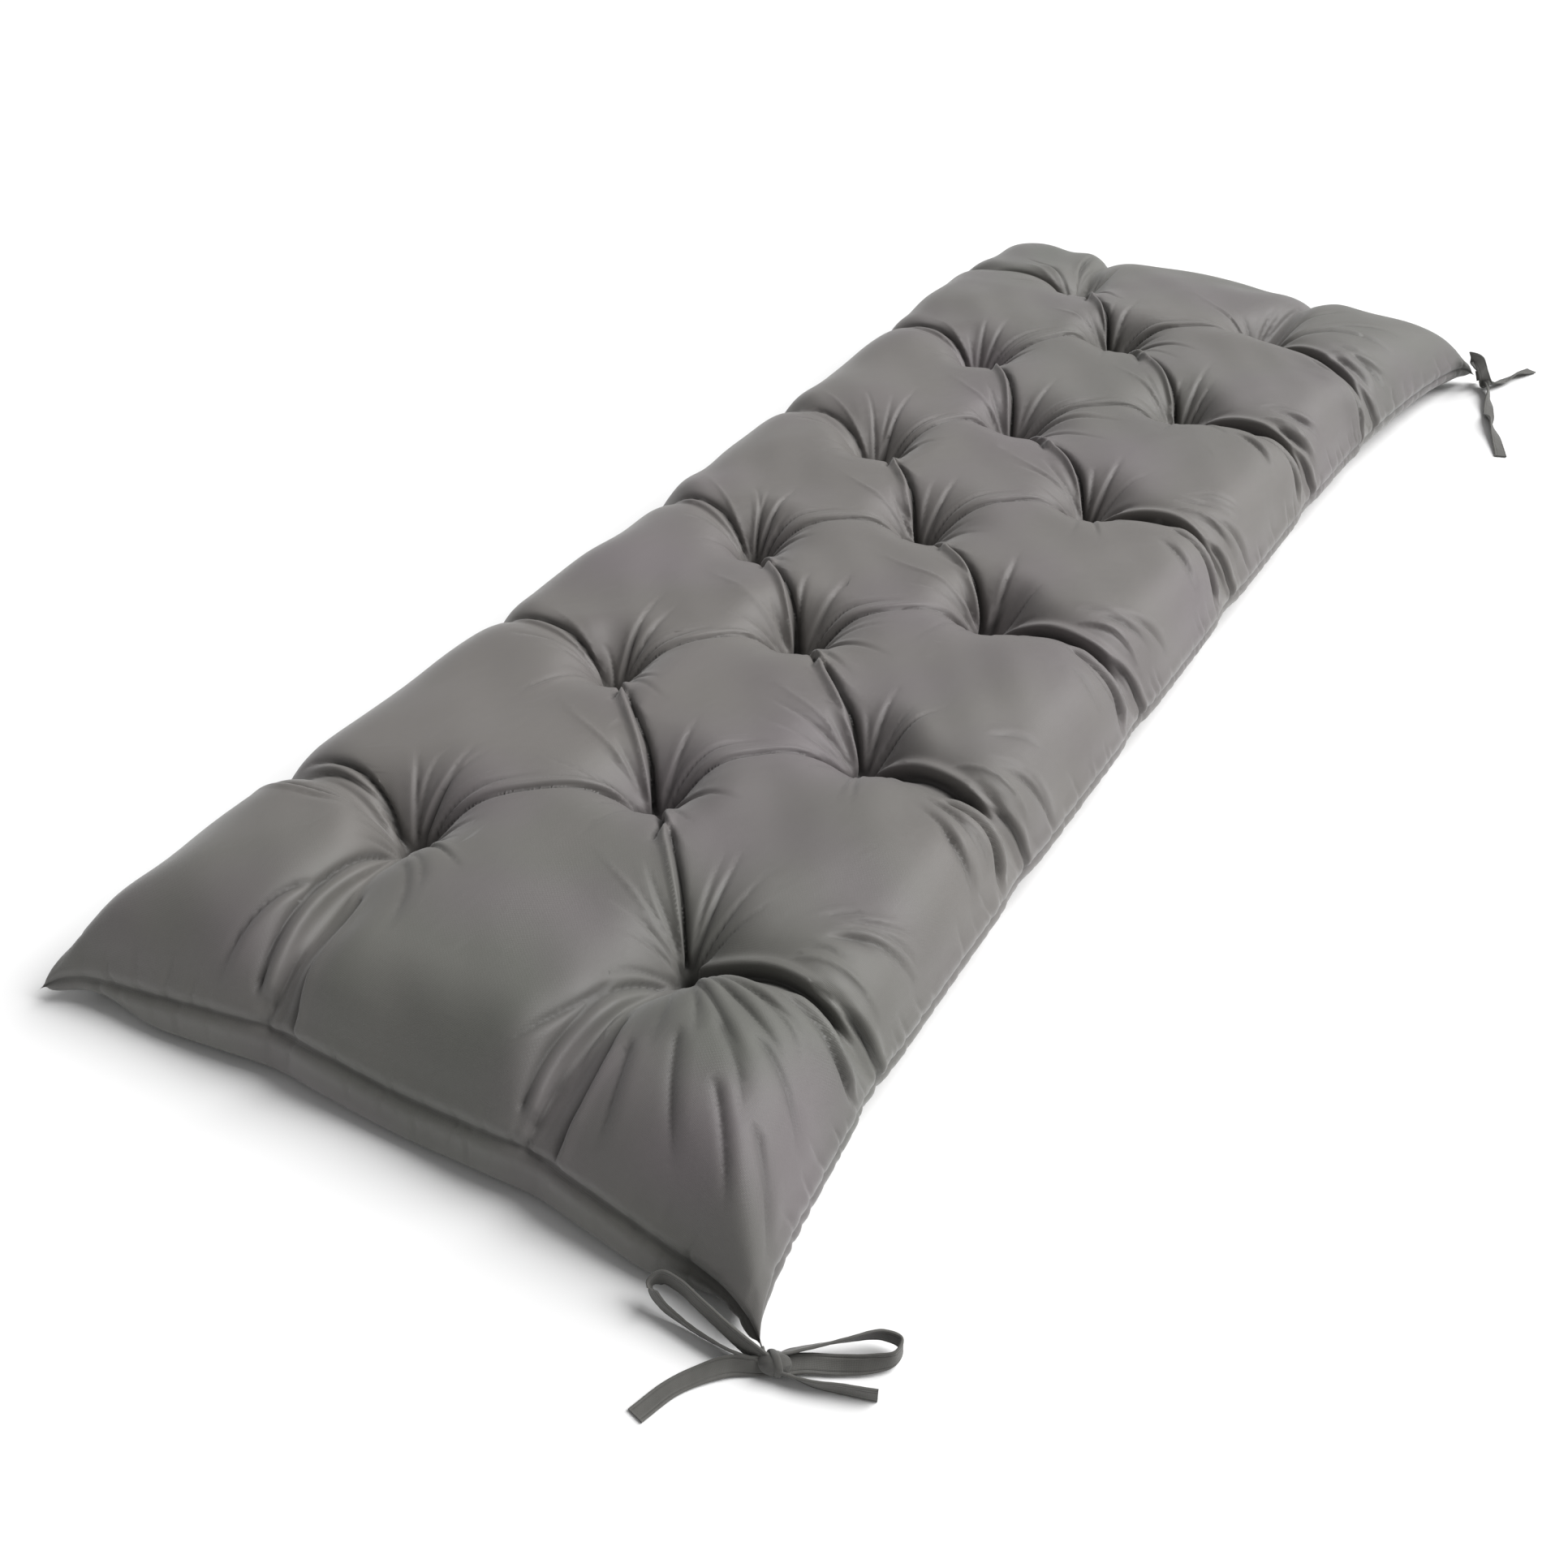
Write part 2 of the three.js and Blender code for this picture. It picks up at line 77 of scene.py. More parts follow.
# Creases of their own, which set out from a tuft: column (-1 left, 0 middle, 1 right), row, bearing in
# degrees (0 towards the right seam, 90 towards the far end), start, length, bow to the left of the
# bearing, depth (a ridge where it is negative), width, and the raised lip to the left, as a share.
OWN_CREASES = [
    # near left tuft, towards the left seam and the near seam
    (-1, 0, 176, 6, 120, -9, 6.5, 2.6, 0.5), (-1, 0, 190, 5, 140, 10, 4.5, 2.2, 0.4),
    (-1, 0, 200, 12, 90, 6, 1.6, 2.6, 0.2), (-1, 0, 258, 92, 86, -6, 4.0, 3.0, 0.4),
    (-1, 0, 292, 40, 88, 8, 2.0, 5.0, 0.2), (-1, 0, 300, 34, 60, 8, 1.6, 4.0, 0.2),
    # near right tuft, over the pillow at the corner
    (1, 0, 343, 8, 110, -8, 3.4, 2.8, 0.4), (1, 0, 330, 8, 128, -6, 3.0, 3.6, 0.3),
    (1, 0, 316, 8, 122, -4, 2.6, 3.4, 0.3), (1, 0, 302, 10, 104, 4, 2.4, 4.4, 0.2),
    (1, 0, 288, 30, 96, 4, 2.0, 6.0, 0.0), (1, 0, 310, 84, 74, 6, 2.4, 5.0, 0.2),
    (1, 0, 322, 100, 70, 6, 2.6, 4.6, 0.2), (1, 0, 254, 60, 100, 8, 3.2, 3.0, 0.4),
    # gathers that climb from the near seam over the same pillow
    (1, 0, 282, 104, 70, 3, 2.6, 4.2, 0.3), (1, 0, 298, 92, 88, -4, 3.0, 4.4, 0.3),
    (1, 0, 306, 126, 70, 3, 2.8, 3.6, 0.3), (1, 0, 313, 150, 62, 3, 2.2, 3.2, 0.3),
    # far pillows and corners
    (-1, 5, 97, 8, 128, 3, 6.0, 2.6, 0.4), (-1, 5, 78, 10, 96, -10, 2.0, 2.2, 0.0),
    (-1, 5, 148, 8, 84, -6, 2.6, 3.0, 0.2), (1, 5, 62, 12, 104, 10, 2.0, 2.4, 0.0),
    (1, 5, 26, 16, 120, 16, 2.8, 2.8, 0.3), (1, 5, 38, 30, 116, 12, 2.2, 3.0, 0.1),
    (1, 5, 16, 90, 52, 0, 3.2, 2.8, 0.3),
]

# Routes of the ties: x, y, z of the middle of the tape, and the angle of its width from level.
NEAR_LOOP_AND_TAIL = [
    (250.4, -666.2, 7.5, 88), (254, -668.4, 8, 80), (261, -660, 9, 45), (272, -650, 10, 50),
    (284, -639, 11, 62), (297, -628, 11, 80), (307, -627, 10, 88), (308, -635, 8.5, 88),
    (299, -643, 6.5, 60), (285, -651, 5, 38), (270, -659, 5, 25), (259, -668, 6, 40),
    (248.5, -674.5, 5.8, 64), (239, -679.5, 5, 40), (229, -689, 2.6, 8), (220, -703, 1.2, 0),
    (213.5, -725, 1.1, 0),
]
NEAR_SIDE_LOOP_AND_TAIL = [
    (257, -670, 8, 84), (244, -670, 12, 78), (230, -668.5, 16, 84), (214, -665.5, 19.5, 86),
    (199, -662.5, 22, 88), (189, -662.5, 22, 90), (185, -666.5, 17, 90), (192, -669, 10.5, 82),
    (206, -670.5, 7, 70), (222, -672, 6, 62), (238, -672, 6, 55), (252, -669, 5.5, 50),
    (265, -669, 5, 50), (278, -667.5, 5, 66), (293, -663, 5.6, 80), (310, -657, 5.5, 86),
]
FAR_RING_AND_TAIL = [
    (265.4, 673.2, 7.5, 88), (268.6, 672.5, 9, 70), (268.5, 664, 18, 40), (263, 652, 30, 60),
    (261, 646, 37, 70), (267, 646, 36, 84), (272, 650, 27, 84), (275, 656, 17, 70),
    (278, 663, 8, 40), (284, 672, 4.5, 30), (290, 688, 3.2, 20), (296, 703, 4.5, 50),
    (301, 716, 3, 15), (307, 730, 1.4, 0),
]
FAR_TAIL = [
    (276, 665, 8, 30), (281, 655, 6.5, 60), (286, 640, 5.6, 70), (291, 622, 3.4, 25),
    (296, 604, 2.2, 10), (302, 584, 5.3, 75), (312, 562, 3.4, 25), (326, 527, 1.2, 0),
]
# Knots: x, y, z, length, width, height, turn from above.
NEAR_KNOT = (258.5, -668.5, 7.8, 17, 13, 15, 25)
FAR_KNOT = (276, 664, 8, 13, 12, 13, -60)


# ---------------------------------------------------------------- what a user would change
def metres(name, text, default, least, most):
    """A length that the user can set."""
    return FloatProperty(name=name, description=text, default=default, min=least, max=most, unit="LENGTH")


def number(name, text, default, least, most):
    """A bare number that the user can set, such as a share or a strength."""
    return FloatProperty(name=name, description=text, default=default, min=least, max=most)


def colour(name, text, default):
    """A colour that the user can set."""
    return FloatVectorProperty(
        name=name, description=text, default=default, subtype="COLOR", size=3, min=0, max=1)


class CushionSizes(bpy.types.PropertyGroup):
    """Sizes of the filled cover."""

    width: metres("Width", "Flat panel from long seam to long seam", 0.5, 0.3, 0.8)
    length: metres("Length", "Flat panel from end seam to end seam", 1.34, 0.9, 2.0)
    crown: metres("Crown", "Height that the filling would reach without its tufts", 0.101, 0.05, 0.2)
    tuft_top: metres("Tuft height", "Height of the top panel at a tuft", 0.040, 0.01, 0.09)
    tuft_under: metres("Tuft draw", "How far the bottom panel is drawn up at a tuft", 0.022, 0.0, 0.05)
    seam_height: metres("Seam height", "Height of the seam between the corners", 0.028, 0.01, 0.06)
    corner_height: metres("Corner height", "Height of the seam at a corner", 0.007, 0.002, 0.03)
    side_draw_in: metres("Side draw-in", "How far a long seam pulls in at its middle", 0.026, 0.0, 0.08)
    end_draw_in: metres("End draw-in", "How far an end seam pulls in at its middle", 0.025, 0.0, 0.08)


class ClothBehaviour(bpy.types.PropertyGroup):
    """How the cover's cloth settles over its filling."""

    fullness_across: number(
        "Fullness across", "Cloth length over panel width, between the tufts", 1.085, 1.0, 1.3)
    fullness_along: number(
        "Fullness along", "Cloth length over panel length, between the tufts", 1.085, 1.0, 1.3)
    fullness_at_seam: number("Fullness at the seam", "Cloth length over seam length", 1.02, 1.0, 1.1)
    filling_push: number("Filling push", "How hard the filling pushes the cloth out", 0.3, 0.0, 1.5)
    stiffness: number("Stiffness", "How much the cloth resists small folds", 1.0, 0.0, 3.0)
    unevenness: metres(
        "Unevenness", "Size of the unevenness that the small folds start from", 0.0003, 0.0, 0.002)
    crease_depth: number("Crease depth", "Depth of every crease, as a share of its own", 1.0, 0.0, 2.0)
    tuft_pit: metres("Tuft pit", "How far the thread of a tuft sinks into the cloth", 0.006, 0.0, 0.02)
    seam_sink: metres(
        "Seam sink", "How far the seam lies below the cloth on its two sides", 0.0022, 0.0, 0.006)
    most_triangles: IntProperty(
        name="Most triangles", description="The cover is thinned where it is flattest down to this many",
        default=195000, min=20000)
    seed: IntProperty(
        name="Seed", description="Changes where the small folds and puckers lie", default=7, min=0)


class ClothFinish(bpy.types.PropertyGroup):
    """Colours and finish of the cover's cloth and the ties."""

    cover_colour: colour("Cover colour", "Main colour of the cover's cloth", (0.167, 0.156, 0.147))
    # A darker, greener tone: it lies in random patches, and towards both ends it is painted shade.
    cool_and_end_shade_colour: colour(
        "Cool tone", "Colour towards both ends, in large soft patches", (0.129, 0.131, 0.117))
    warm_colour: colour(
        "Warm tone", "Faint warm shade in smaller patches", (0.171, 0.151, 0.158))
    tape_colour: colour("Tape colour", "Main colour of the ties", (0.120, 0.118, 0.109))
    thread_pitch: metres(
        "Thread pitch", "Distance between two threads of the weave", 0.0006, 0.0002, 0.003)
    weave_depth: metres("Weave depth", "Height of the threads in the bump", 0.00008, 0.0, 0.001)
    cover_roughness: number("Cover roughness", "Roughness of the cover's cloth", 0.47, 0.1, 1.0)
    tape_roughness: number("Tape roughness", "Roughness of the ties", 0.66, 0.1, 1.0)


class TieSizes(bpy.types.PropertyGroup):
    """Sizes of the tapes that tie the cushion down."""

    tape_width: metres("Tape width", "Width of the folded tape", 0.0105, 0.004, 0.02)
    tape_thickness: metres(
        "Tape thickness", "Thickness of the folded tape at its edges", 0.0016, 0.0005, 0.004)
    stitch_inset: metres(
        "Stitch inset", "How far the tape's stitching is from its edge", 0.0018, 0.0005, 0.005)


class StageSizes(bpy.types.PropertyGroup):
    """Floor, lights and camera."""

    floor_colour: colour("Floor colour", "Colour of the floor", (0.93, 0.93, 0.93))
    key_strength: number(
        "Key light", "Strength of the broad light from beyond the far right corner", 3.95, 0, 20)
    key_spread: FloatProperty(
        name="Key spread", description="How wide the key light is, which softens its shadows",
        default=math.radians(46), min=0.0, max=math.pi, unit="ROTATION")
    back_power: FloatProperty(
        name="Back light", description="Power of the softbox behind the far end, for the cloth's sheen",
        default=5, min=0, max=500, unit="POWER")
    sky_strength: number("Sky", "Strength of the even light from all round", 0.26, 0, 3)
    camera_place: FloatVectorProperty(
        name="Camera place", description="Where the camera stands",
        subtype="TRANSLATION", size=3, default=(0.5304, -1.1796, 0.8044), unit="LENGTH")
    camera_turn: FloatVectorProperty(
        name="Camera turn", description="How the camera is turned", subtype="EULER", size=3,
        default=tuple(math.radians(a) for a in (52.8649, -1.3712, 30.2441)), unit="ROTATION")
    camera_lens: number("Focal length", "Focal length on a 36 mm sensor, in millimetres", 43.995, 10, 200)


# ---------------------------------------------------------------- the cushion's form
def clamp01(value):
    """Keeps a value, or every value of an array, between 0 and 1."""
    return np.clip(value, 0.0, 1.0)


def quarter_round(q):
    """Rises from 0 to 1 as a quarter of a circle does."""
    return np.sqrt(1 - (1 - clamp01(q)) ** 2)


def slope(q):
    """Rises from 0 to 1, steeply at first and level at its end."""
    return 1 - (1 - clamp01(q)) ** 2


def hump(q):
    """0 at both ends and 1 in the middle."""
    return 4 * q * (1 - q)


def bell(distance, reach):
    """1 at no distance, and close to 0 past twice the reach."""
    return np.exp(-((distance / reach) ** 2))


def blend_low(a, b, softness):
    """The lower of two heights, with a soft change from one to the other."""
    share = clamp01(0.5 + 0.5 * (b - a) / softness)
    return b * (1 - share) + a * share - softness * share * (1 - share)


class CushionForm:
    """The filled cushion as two panels over the flat pattern, all in millimetres.

    s runs across the flat panel and t along it, both from its middle.
    """

    corner_reach, side_shoulder, end_shoulder = 150, 105, 115
    flat_width, flat_length, under_power = 456, 1296, 1.2
    lattice_saddle, lattice_reach = 58, 60
    fold_softness, shoulder_softness, spare = 5, 20, 3
    far_fall, far_left_fall, far_fall_start, left_fall_reach = 16, 15, 430, 150
    under_fold_reach, under_sag = 42, 18
    side_bulge, end_bulge, bulge_reach = -5, 27, 60
    notch, notch_reach, drift_reach, shift_reach = 7, 16, 75, 60
    seam_swing, swing_fade = 7, 40
    corner_power, side_power, end_power = 0.8, 3.5, 2.5

    def __init__(self, sizes):
        self.half_width = sizes.width / MM / 2
        self.half_length = sizes.length / MM / 2
        self.crown = sizes.crown / MM
        self.tuft_top = sizes.tuft_top / MM
        self.tuft_under = sizes.tuft_under / MM
        self.seam = sizes.seam_height / MM
        self.corner = sizes.corner_height / MM
        self.side_draw_in = sizes.side_draw_in / MM
        self.end_draw_in = sizes.end_draw_in / MM
        reach_x = [side * self.half_width + dx for side, _, dx, _ in CORNER_SHIFTS]
        reach_y = [end * self.half_length + dy for _, end, _, dy in CORNER_SHIFTS]
        self.middle = np.array([(min(reach_x) + max(reach_x)) / 2, (min(reach_y) + max(reach_y)) / 2, 0.0])
        self.folds = self.make_folds()

    def make_folds(self):
        """Each fold: from, to, height at its far end, the same underneath, saddle, reach."""
        folds = []
        for y in MIDDLE_ROWS:
            for x in (-COLUMN_X, COLUMN_X):
                for step in (-COLUMN_X, COLUMN_X):
                    folds.append(((x, y + step), (0, y), self.tuft_top, self.tuft_under,
                                  self.lattice_saddle, self.lattice_reach))
        for side, row, _, saddle, reach in SIDE_FOLDS:
            start, stop = (side * COLUMN_X, OUTER_ROWS[row]), (side * self.half_width, OUTER_ROWS[row])
            folds.append((start, stop, self.seam, 0, saddle, reach))
        for end, side, _, saddle, reach in END_FOLDS:
            start, stop = (side * COLUMN_X, end * LAST_ROW), (side * COLUMN_X, end * self.half_length)
            folds.append((start, stop, self.seam, 0, saddle, reach))
        return folds

    @staticmethod
    def near_fold(fold, s, t):
        """How far along the fold the nearest place is, and how far away."""
        (fx, fy), (tx, ty) = fold[0], fold[1]
        dx, dy = tx - fx, ty - fy
        along = clamp01(((s - fx) * dx + (t - fy) * dy) / (dx * dx + dy * dy))
        return along, np.hypot(s - fx - along * dx, t - fy - along * dy)

    def fold_distance(self, s, t):
        """How far away the nearest fold is."""
        return np.min([self.near_fold(fold, s, t)[1] for fold in self.folds], axis=0)

    def seam_height(self, s, t):
        """Low at the corners, and rising at the folds of the near end."""
        corner = np.hypot(self.half_width - abs(s), self.half_length - abs(t))
        near_end = clamp01((-t - LAST_ROW) / (self.half_length - LAST_ROW)) ** 2
        between_corners = clamp01((self.half_width - abs(s)) / self.swing_fade)
        swing = self.seam_swing * near_end * between_corners * np.cos(2 * math.pi * s / PITCH)
        rise = (self.seam - self.corner) * np.minimum(1, corner / self.corner_reach) ** self.corner_power
        return self.corner + rise - swing

    def top_height(self, s, t):
        """A crown with rounded shoulders, cut into pillows by the folds."""
        seam = self.seam_height(s, t)
        far = clamp01((t - self.far_fall_start) / (self.half_length - self.far_fall_start))
        crown = self.crown - far * (self.far_fall + self.far_left_fall * clamp01(-s / self.left_fall_reach))
        rise = crown - seam
        side_dome = seam + rise * quarter_round((self.half_width - abs(s)) / self.side_shoulder)
        end_dome = seam + rise * quarter_round((self.half_length - abs(t)) / self.end_shoulder)
        dome = blend_low(side_dome, end_dome, self.shoulder_softness)
        full = crown + self.spare
        pillows = full
        for fold in self.folds:
            along, away = self.near_fold(fold, s, t)
            floor = self.tuft_top + (fold[2] - self.tuft_top) * along + fold[4] * hump(along)
            pillows = blend_low(pillows, floor + (full - floor) * slope(away / fold[5]), self.fold_softness)
        return np.maximum(seam, blend_low(dome, pillows, self.shoulder_softness))

    def under_height(self, s, t):
        """Flat on the floor, drawn up along the folds, and rising to the seam."""
        side_rise = (2 * abs(s) - self.flat_width) / (2 * self.half_width - self.flat_width)
        end_rise = (2 * abs(t) - self.flat_length) / (2 * self.half_length - self.flat_length)
        height = self.seam_height(s, t) * clamp01(np.maximum(side_rise, end_rise)) ** self.under_power
        for fold in self.folds:
            along, away = self.near_fold(fold, s, t)
            ridge = self.tuft_under + (fold[3] - self.tuft_under) * along - self.under_sag * hump(along)
            height = np.maximum(height, np.maximum(0, ridge) * (1 - slope(away / self.under_fold_reach)))
        return height

    def place_from_above(self, s, t):
        """Where a place on the flat panel lies once the cushion is filled and tufted."""
        half_w, half_l = self.half_width, self.half_length
        side_share = clamp01((abs(s) - COLUMN_X) / (half_w - COLUMN_X))
        end_share = clamp01((abs(t) - LAST_ROW) / (half_l - LAST_ROW))
        side_pull = self.side_draw_in * (1 - abs(t / half_l) ** self.side_power)
        end_pull = self.end_draw_in * (1 - abs(s / half_w) ** self.end_power)
        x, y = s.copy(), t.copy()
        for side, row, drift, _, _ in SIDE_FOLDS:
            off = t - OUTER_ROWS[row]
            here = side * s > 0
            side_pull = side_pull + here * self.notch * side_share ** 2 * bell(off, self.notch_reach)
            y = y + here * drift * side_share * bell(off, self.drift_reach) * (1 - end_share)
        for end, side, drift, _, _ in END_FOLDS:
            off = s - side * COLUMN_X
            here = end * t > 0
            end_pull = end_pull + here * self.notch * end_share ** 2 * bell(off, self.notch_reach)
            x = x + here * drift * end_share * bell(off, self.drift_reach) * (1 - side_share)
        x = x - np.sign(s) * side_share * side_pull
        y = y - np.sign(t) * end_share * end_pull
        hold = (1 - side_share ** 2) * (1 - end_share ** 2)
        for column, rows, across, along in TUFTS:
            for row, dx, dy in zip(rows, across, along):
                weight = hold * bell(np.hypot(s - column, t - row), self.shift_reach)
                x = x + weight * dx
                y = y + weight * dy
        for side, end, dx, dy in CORNER_SHIFTS:
            share = ((1 + side * s / half_w) / 2) * clamp01(end * np.sign(t) * end_share)
            x = x + share * dx
            y = y + share * dy
        return x, y

    def panels(self, s, t):
        """Both panels as arrays of places in metres."""
        across, along = np.meshgrid(s, t)
        x, y = self.place_from_above(across, along)
        seam = self.seam_height(across, along)
        inside = np.zeros_like(across, bool)
        inside[1:-1, 1:-1] = True
        share_x = self.bulge(across, self.half_width, self.flat_width)
        share_y = self.bulge(along, self.half_length, self.flat_length)
        out_x = self.side_bulge * share_x * (1 - abs(share_y))
        out_y = self.end_bulge * share_y * (1 - abs(share_x))
        panels = []
        for height, swell in ((self.top_height(across, along), 0), (self.under_height(across, along), 1)):
            z = np.where(inside, height, seam)
            panels.append((np.stack([x + swell * out_x, y + swell * out_y, z], -1) - self.middle) * MM)
        return panels

    def bulge(self, place, half, flat):
        """How far the filling pushes the bottom panel out below the seam, as a share with its side."""
        inward = half - abs(place)
        foot = half - flat / 2
        rise = np.sin(clamp01(inward / foot) * math.pi / 2)
        fall = 0.5 + 0.5 * np.cos(clamp01((inward - foot) / self.bulge_reach) * math.pi)
        return np.sign(place) * rise * fall


# ---------------------------------------------------------------- how the cloth settles

# Cells of the coarsest grid: between the outer tufts, and from them to the seam.
CELLS_ACROSS, CELLS_ALONG = (16, 12), (80, 15)


def grid_lines(cells, level, inner, outer):
    """Even cells between the outer tufts, and even cells from there to the seam."""
    inner_cells, margin_cells = (count * 2 ** level for count in cells)
    middle = np.linspace(-inner, inner, inner_cells + 1)
    margin = inner + (outer - inner) * np.arange(1, margin_cells + 1) / margin_cells
    return np.concatenate([-margin[::-1], middle, margin])


def flat_grid(form, level):
    """Places across and along the flat panel, with its cells halved as often as the level says."""
    return (grid_lines(CELLS_ACROSS, level, COLUMN_X, form.half_width),
            grid_lines(CELLS_ALONG, level, LAST_ROW, form.half_length))


def area_normals(panel):
    """At each point, a normal as long as the area of a cell there."""
    across, along = np.empty_like(panel), np.empty_like(panel)
    across[:, 1:-1] = (panel[:, 2:] - panel[:, :-2]) * 0.5
    across[:, 0], across[:, -1] = panel[:, 1] - panel[:, 0], panel[:, -1] - panel[:, -2]
    along[1:-1] = (panel[2:] - panel[:-2]) * 0.5
    along[0], along[-1] = panel[1] - panel[0], panel[-1] - panel[-2]
    return np.cross(across, along)


def hold_length(panel, first, second, rest, stretched, squeezed):
    """Moves both ends of a set of threads towards the threads' own length."""
    gap = panel[second] - panel[first]
    length = np.sqrt(np.einsum("...i,...i->...", gap, gap)) + 1e-12
    spare = length - rest
    gap *= (np.where(spare > 0, 0.5 * stretched, 0.5 * squeezed) * spare / length)[..., None]
    panel[first] += gap
    panel[second] -= gap


def thread_sets(rows, columns, across, along, bias):
    """Threads in sets that share no point: first ends, second ends, lengths, whether diagonal."""
    sets = []
    for start in (0, 1):
        last = start + 2 * ((columns - start) // 2)
        sets.append((np.s_[:, start:last:2], np.s_[:, start + 1:last:2], across[:, start:last:2], False))
        last = start + 2 * ((rows - start) // 2)
        sets.append((np.s_[start:last:2], np.s_[start + 1:last:2], along[start:last:2], False))
    for start in (0, 1):
        last = start + 2 * ((rows - start) // 2)
        rest = bias[start:last:2]
        sets.append((np.s_[start:last:2, :-1], np.s_[start + 1:last:2, 1:], rest, True))
        sets.append((np.s_[start:last:2, 1:], np.s_[start + 1:last:2, :-1], rest, True))
    return sets


def even_out(panel, share):
    """Resists bending by drawing each point and its two neighbours towards one line."""
    off = (panel[:, :-2] + panel[:, 2:]) * 0.5 - panel[:, 1:-1]
    panel[:, 1:-1] += share * off
    panel[:, :-2] -= share * 0.5 * off
    panel[:, 2:] -= share * 0.5 * off
    off = (panel[:-2] + panel[2:]) * 0.5 - panel[1:-1]
    panel[1:-1] += share * off
    panel[:-2] -= share * 0.5 * off
    panel[2:] -= share * 0.5 * off


def refine(panel):
    """Halves every cell."""
    rows, columns, _ = panel.shape
    wide = np.empty((rows, 2 * columns - 1, 3))
    wide[:, ::2], wide[:, 1::2] = panel, (panel[:, 1:] + panel[:, :-1]) * 0.5
    fine = np.empty((2 * rows - 1, 2 * columns - 1, 3))
    fine[::2], fine[1::2] = wide, (wide[1:] + wide[:-1]) * 0.5
    return fine


SEAM_LINES = (np.s_[0], np.s_[-1], np.s_[:, 0], np.s_[:, -1])
# Each pass on a finer grid: steps, stiffness, share of squeeze resisted, pull to the form, pull at folds.
PASSES = [
    (60, 0.10, 0.05, 0.05, 0.30),
    (60, 0.10, 0.05, 0.05, 0.30),
    (60, 0.08, 0.05, 0.05, 0.30),
]
FOLD_HOLD = 9                 # how wide the pull along a fold is
SETTLE_ROUNDS = 4             # how often the threads are set to their length in each step
MOMENTUM, WEIGHT = 0.94, 0.06
BIAS_SHARE = 0.35             # how much weaker the cloth is along its diagonals
SEAM_HOLD = 0.02              # how firmly the seam keeps to the form
FULLNESS_FADE = 0.6           # how early the fullness falls off towards the seam
END_TAPER = 0.03              # how much less cloth there is along the last pillows
FLAT_SHARE = 0.3              # how much of the unevenness is level with the cloth


def thread_lengths(form, cloth, s, t):
    """Lengths of the cloth's threads across and along each cell, in metres."""
    side = clamp01((abs(s) - COLUMN_X) / (form.half_width - COLUMN_X)) ** FULLNESS_FADE
    end = clamp01((abs(t) - LAST_ROW) / (form.half_length - LAST_ROW)) ** FULLNESS_FADE
    across = cloth.fullness_across + (cloth.fullness_at_seam - cloth.fullness_across) * end
    along = cloth.fullness_along + (cloth.fullness_at_seam - cloth.fullness_along) * side
    middle = (t[1:] + t[:-1]) / 2
    taper = 1 - END_TAPER * clamp01((abs(middle) - MIDDLE_ROWS[-1]) / (LAST_ROW - MIDDLE_ROWS[-1]))
    return (np.diff(s)[None, :] * across[:, None] * MM,
            np.diff(t)[:, None] * along[None, :] * taper[:, None] * MM)


def settle_cloth(form, cloth, passes):
    """Lets the two panels settle: filling pushes out, threads keep their length, tufts hold."""
    random = np.random.default_rng(cloth.seed)
    top = under = None
    for level, (steps, stiffness, squeeze, pull, fold_pull) in enumerate(passes):
        s, t = flat_grid(form, level)
        form_top, form_under = form.panels(s, t)
        if top is None:
            top, under = form_top.copy(), form_under.copy()
        else:
            top, under = refine(top), refine(under)
        rows, columns = top.shape[:2]
        across, along = thread_lengths(form, cloth, s, t)
        bias = np.hypot((across[1:] + across[:-1]) * 0.5, (along[:, 1:] + along[:, :-1]) * 0.5)
        weight = WEIGHT * across.mean() * along.mean()
        sets = thread_sets(rows, columns, across, along, bias)
        place_s, place_t = np.meshgrid(s, t)
        top_pull = (pull + fold_pull * bell(form.fold_distance(place_s, place_t), FOLD_HOLD))[..., None]
        tufts = [(np.argmin(abs(t - row)), np.argmin(abs(s - column))) for column, row in tuft_places()]
        tuft_at = tuple(np.array(tufts).T)
        corners = ([0, 0, -1, -1], [0, -1, 0, -1])
        bend = stiffness * cloth.stiffness
        uneven = random.normal(0, cloth.unevenness, (rows - 2, columns - 2, 3))
        top[1:-1, 1:-1] += uneven * [FLAT_SHARE, FLAT_SHARE, 1]
        top_speed, under_speed = np.zeros_like(top), np.zeros_like(under)
        for _ in range(steps):
            top_before, under_before = top.copy(), under.copy()
            top_speed = top_speed * MOMENTUM + cloth.filling_push * area_normals(top)
            under_speed = under_speed * MOMENTUM - cloth.filling_push * area_normals(under)
            top_speed[..., 2] -= weight
            under_speed[..., 2] -= weight
            top += top_speed
            under += under_speed
            top += top_pull * (form_top - top)
            under += pull * (form_under - under)
            for _ in range(SETTLE_ROUNDS):
                for first, second, rest, diagonal in sets:
                    share = BIAS_SHARE if diagonal else 1
                    hold_length(top, first, second, rest, share, squeeze * share)
                    hold_length(under, first, second, rest, share, squeeze * share)
                even_out(top, bend)
                even_out(under, bend)
                for line in SEAM_LINES:
                    seam = (top[line] + under[line]) * 0.5
                    seam += SEAM_HOLD * (form_top[line] - seam)
                    top[line] = under[line] = seam
                top[corners] = under[corners] = form_top[corners]
                top[tuft_at], under[tuft_at] = form_top[tuft_at], form_under[tuft_at]
                top[..., 2] = np.maximum(top[..., 2], np.maximum(under[..., 2], 0))
                under[..., 2] = np.maximum(under[..., 2], 0)
            top_speed, under_speed = top - top_before, under - under_before
    return top, under, s, t


# ---------------------------------------------------------------- creases, tufts and seam
# A crease sets out from a place on the flat panel. Begin, length, bow to the left, depth (a ridge
# where it is negative) and width are in mm, the bearing is in degrees, the lip is a share of the
# depth, and the fades are the shares of its length over which it comes in and dies out.
Crease = namedtuple("Crease", "start bearing begin length bow depth width lip fade_in fade_out")

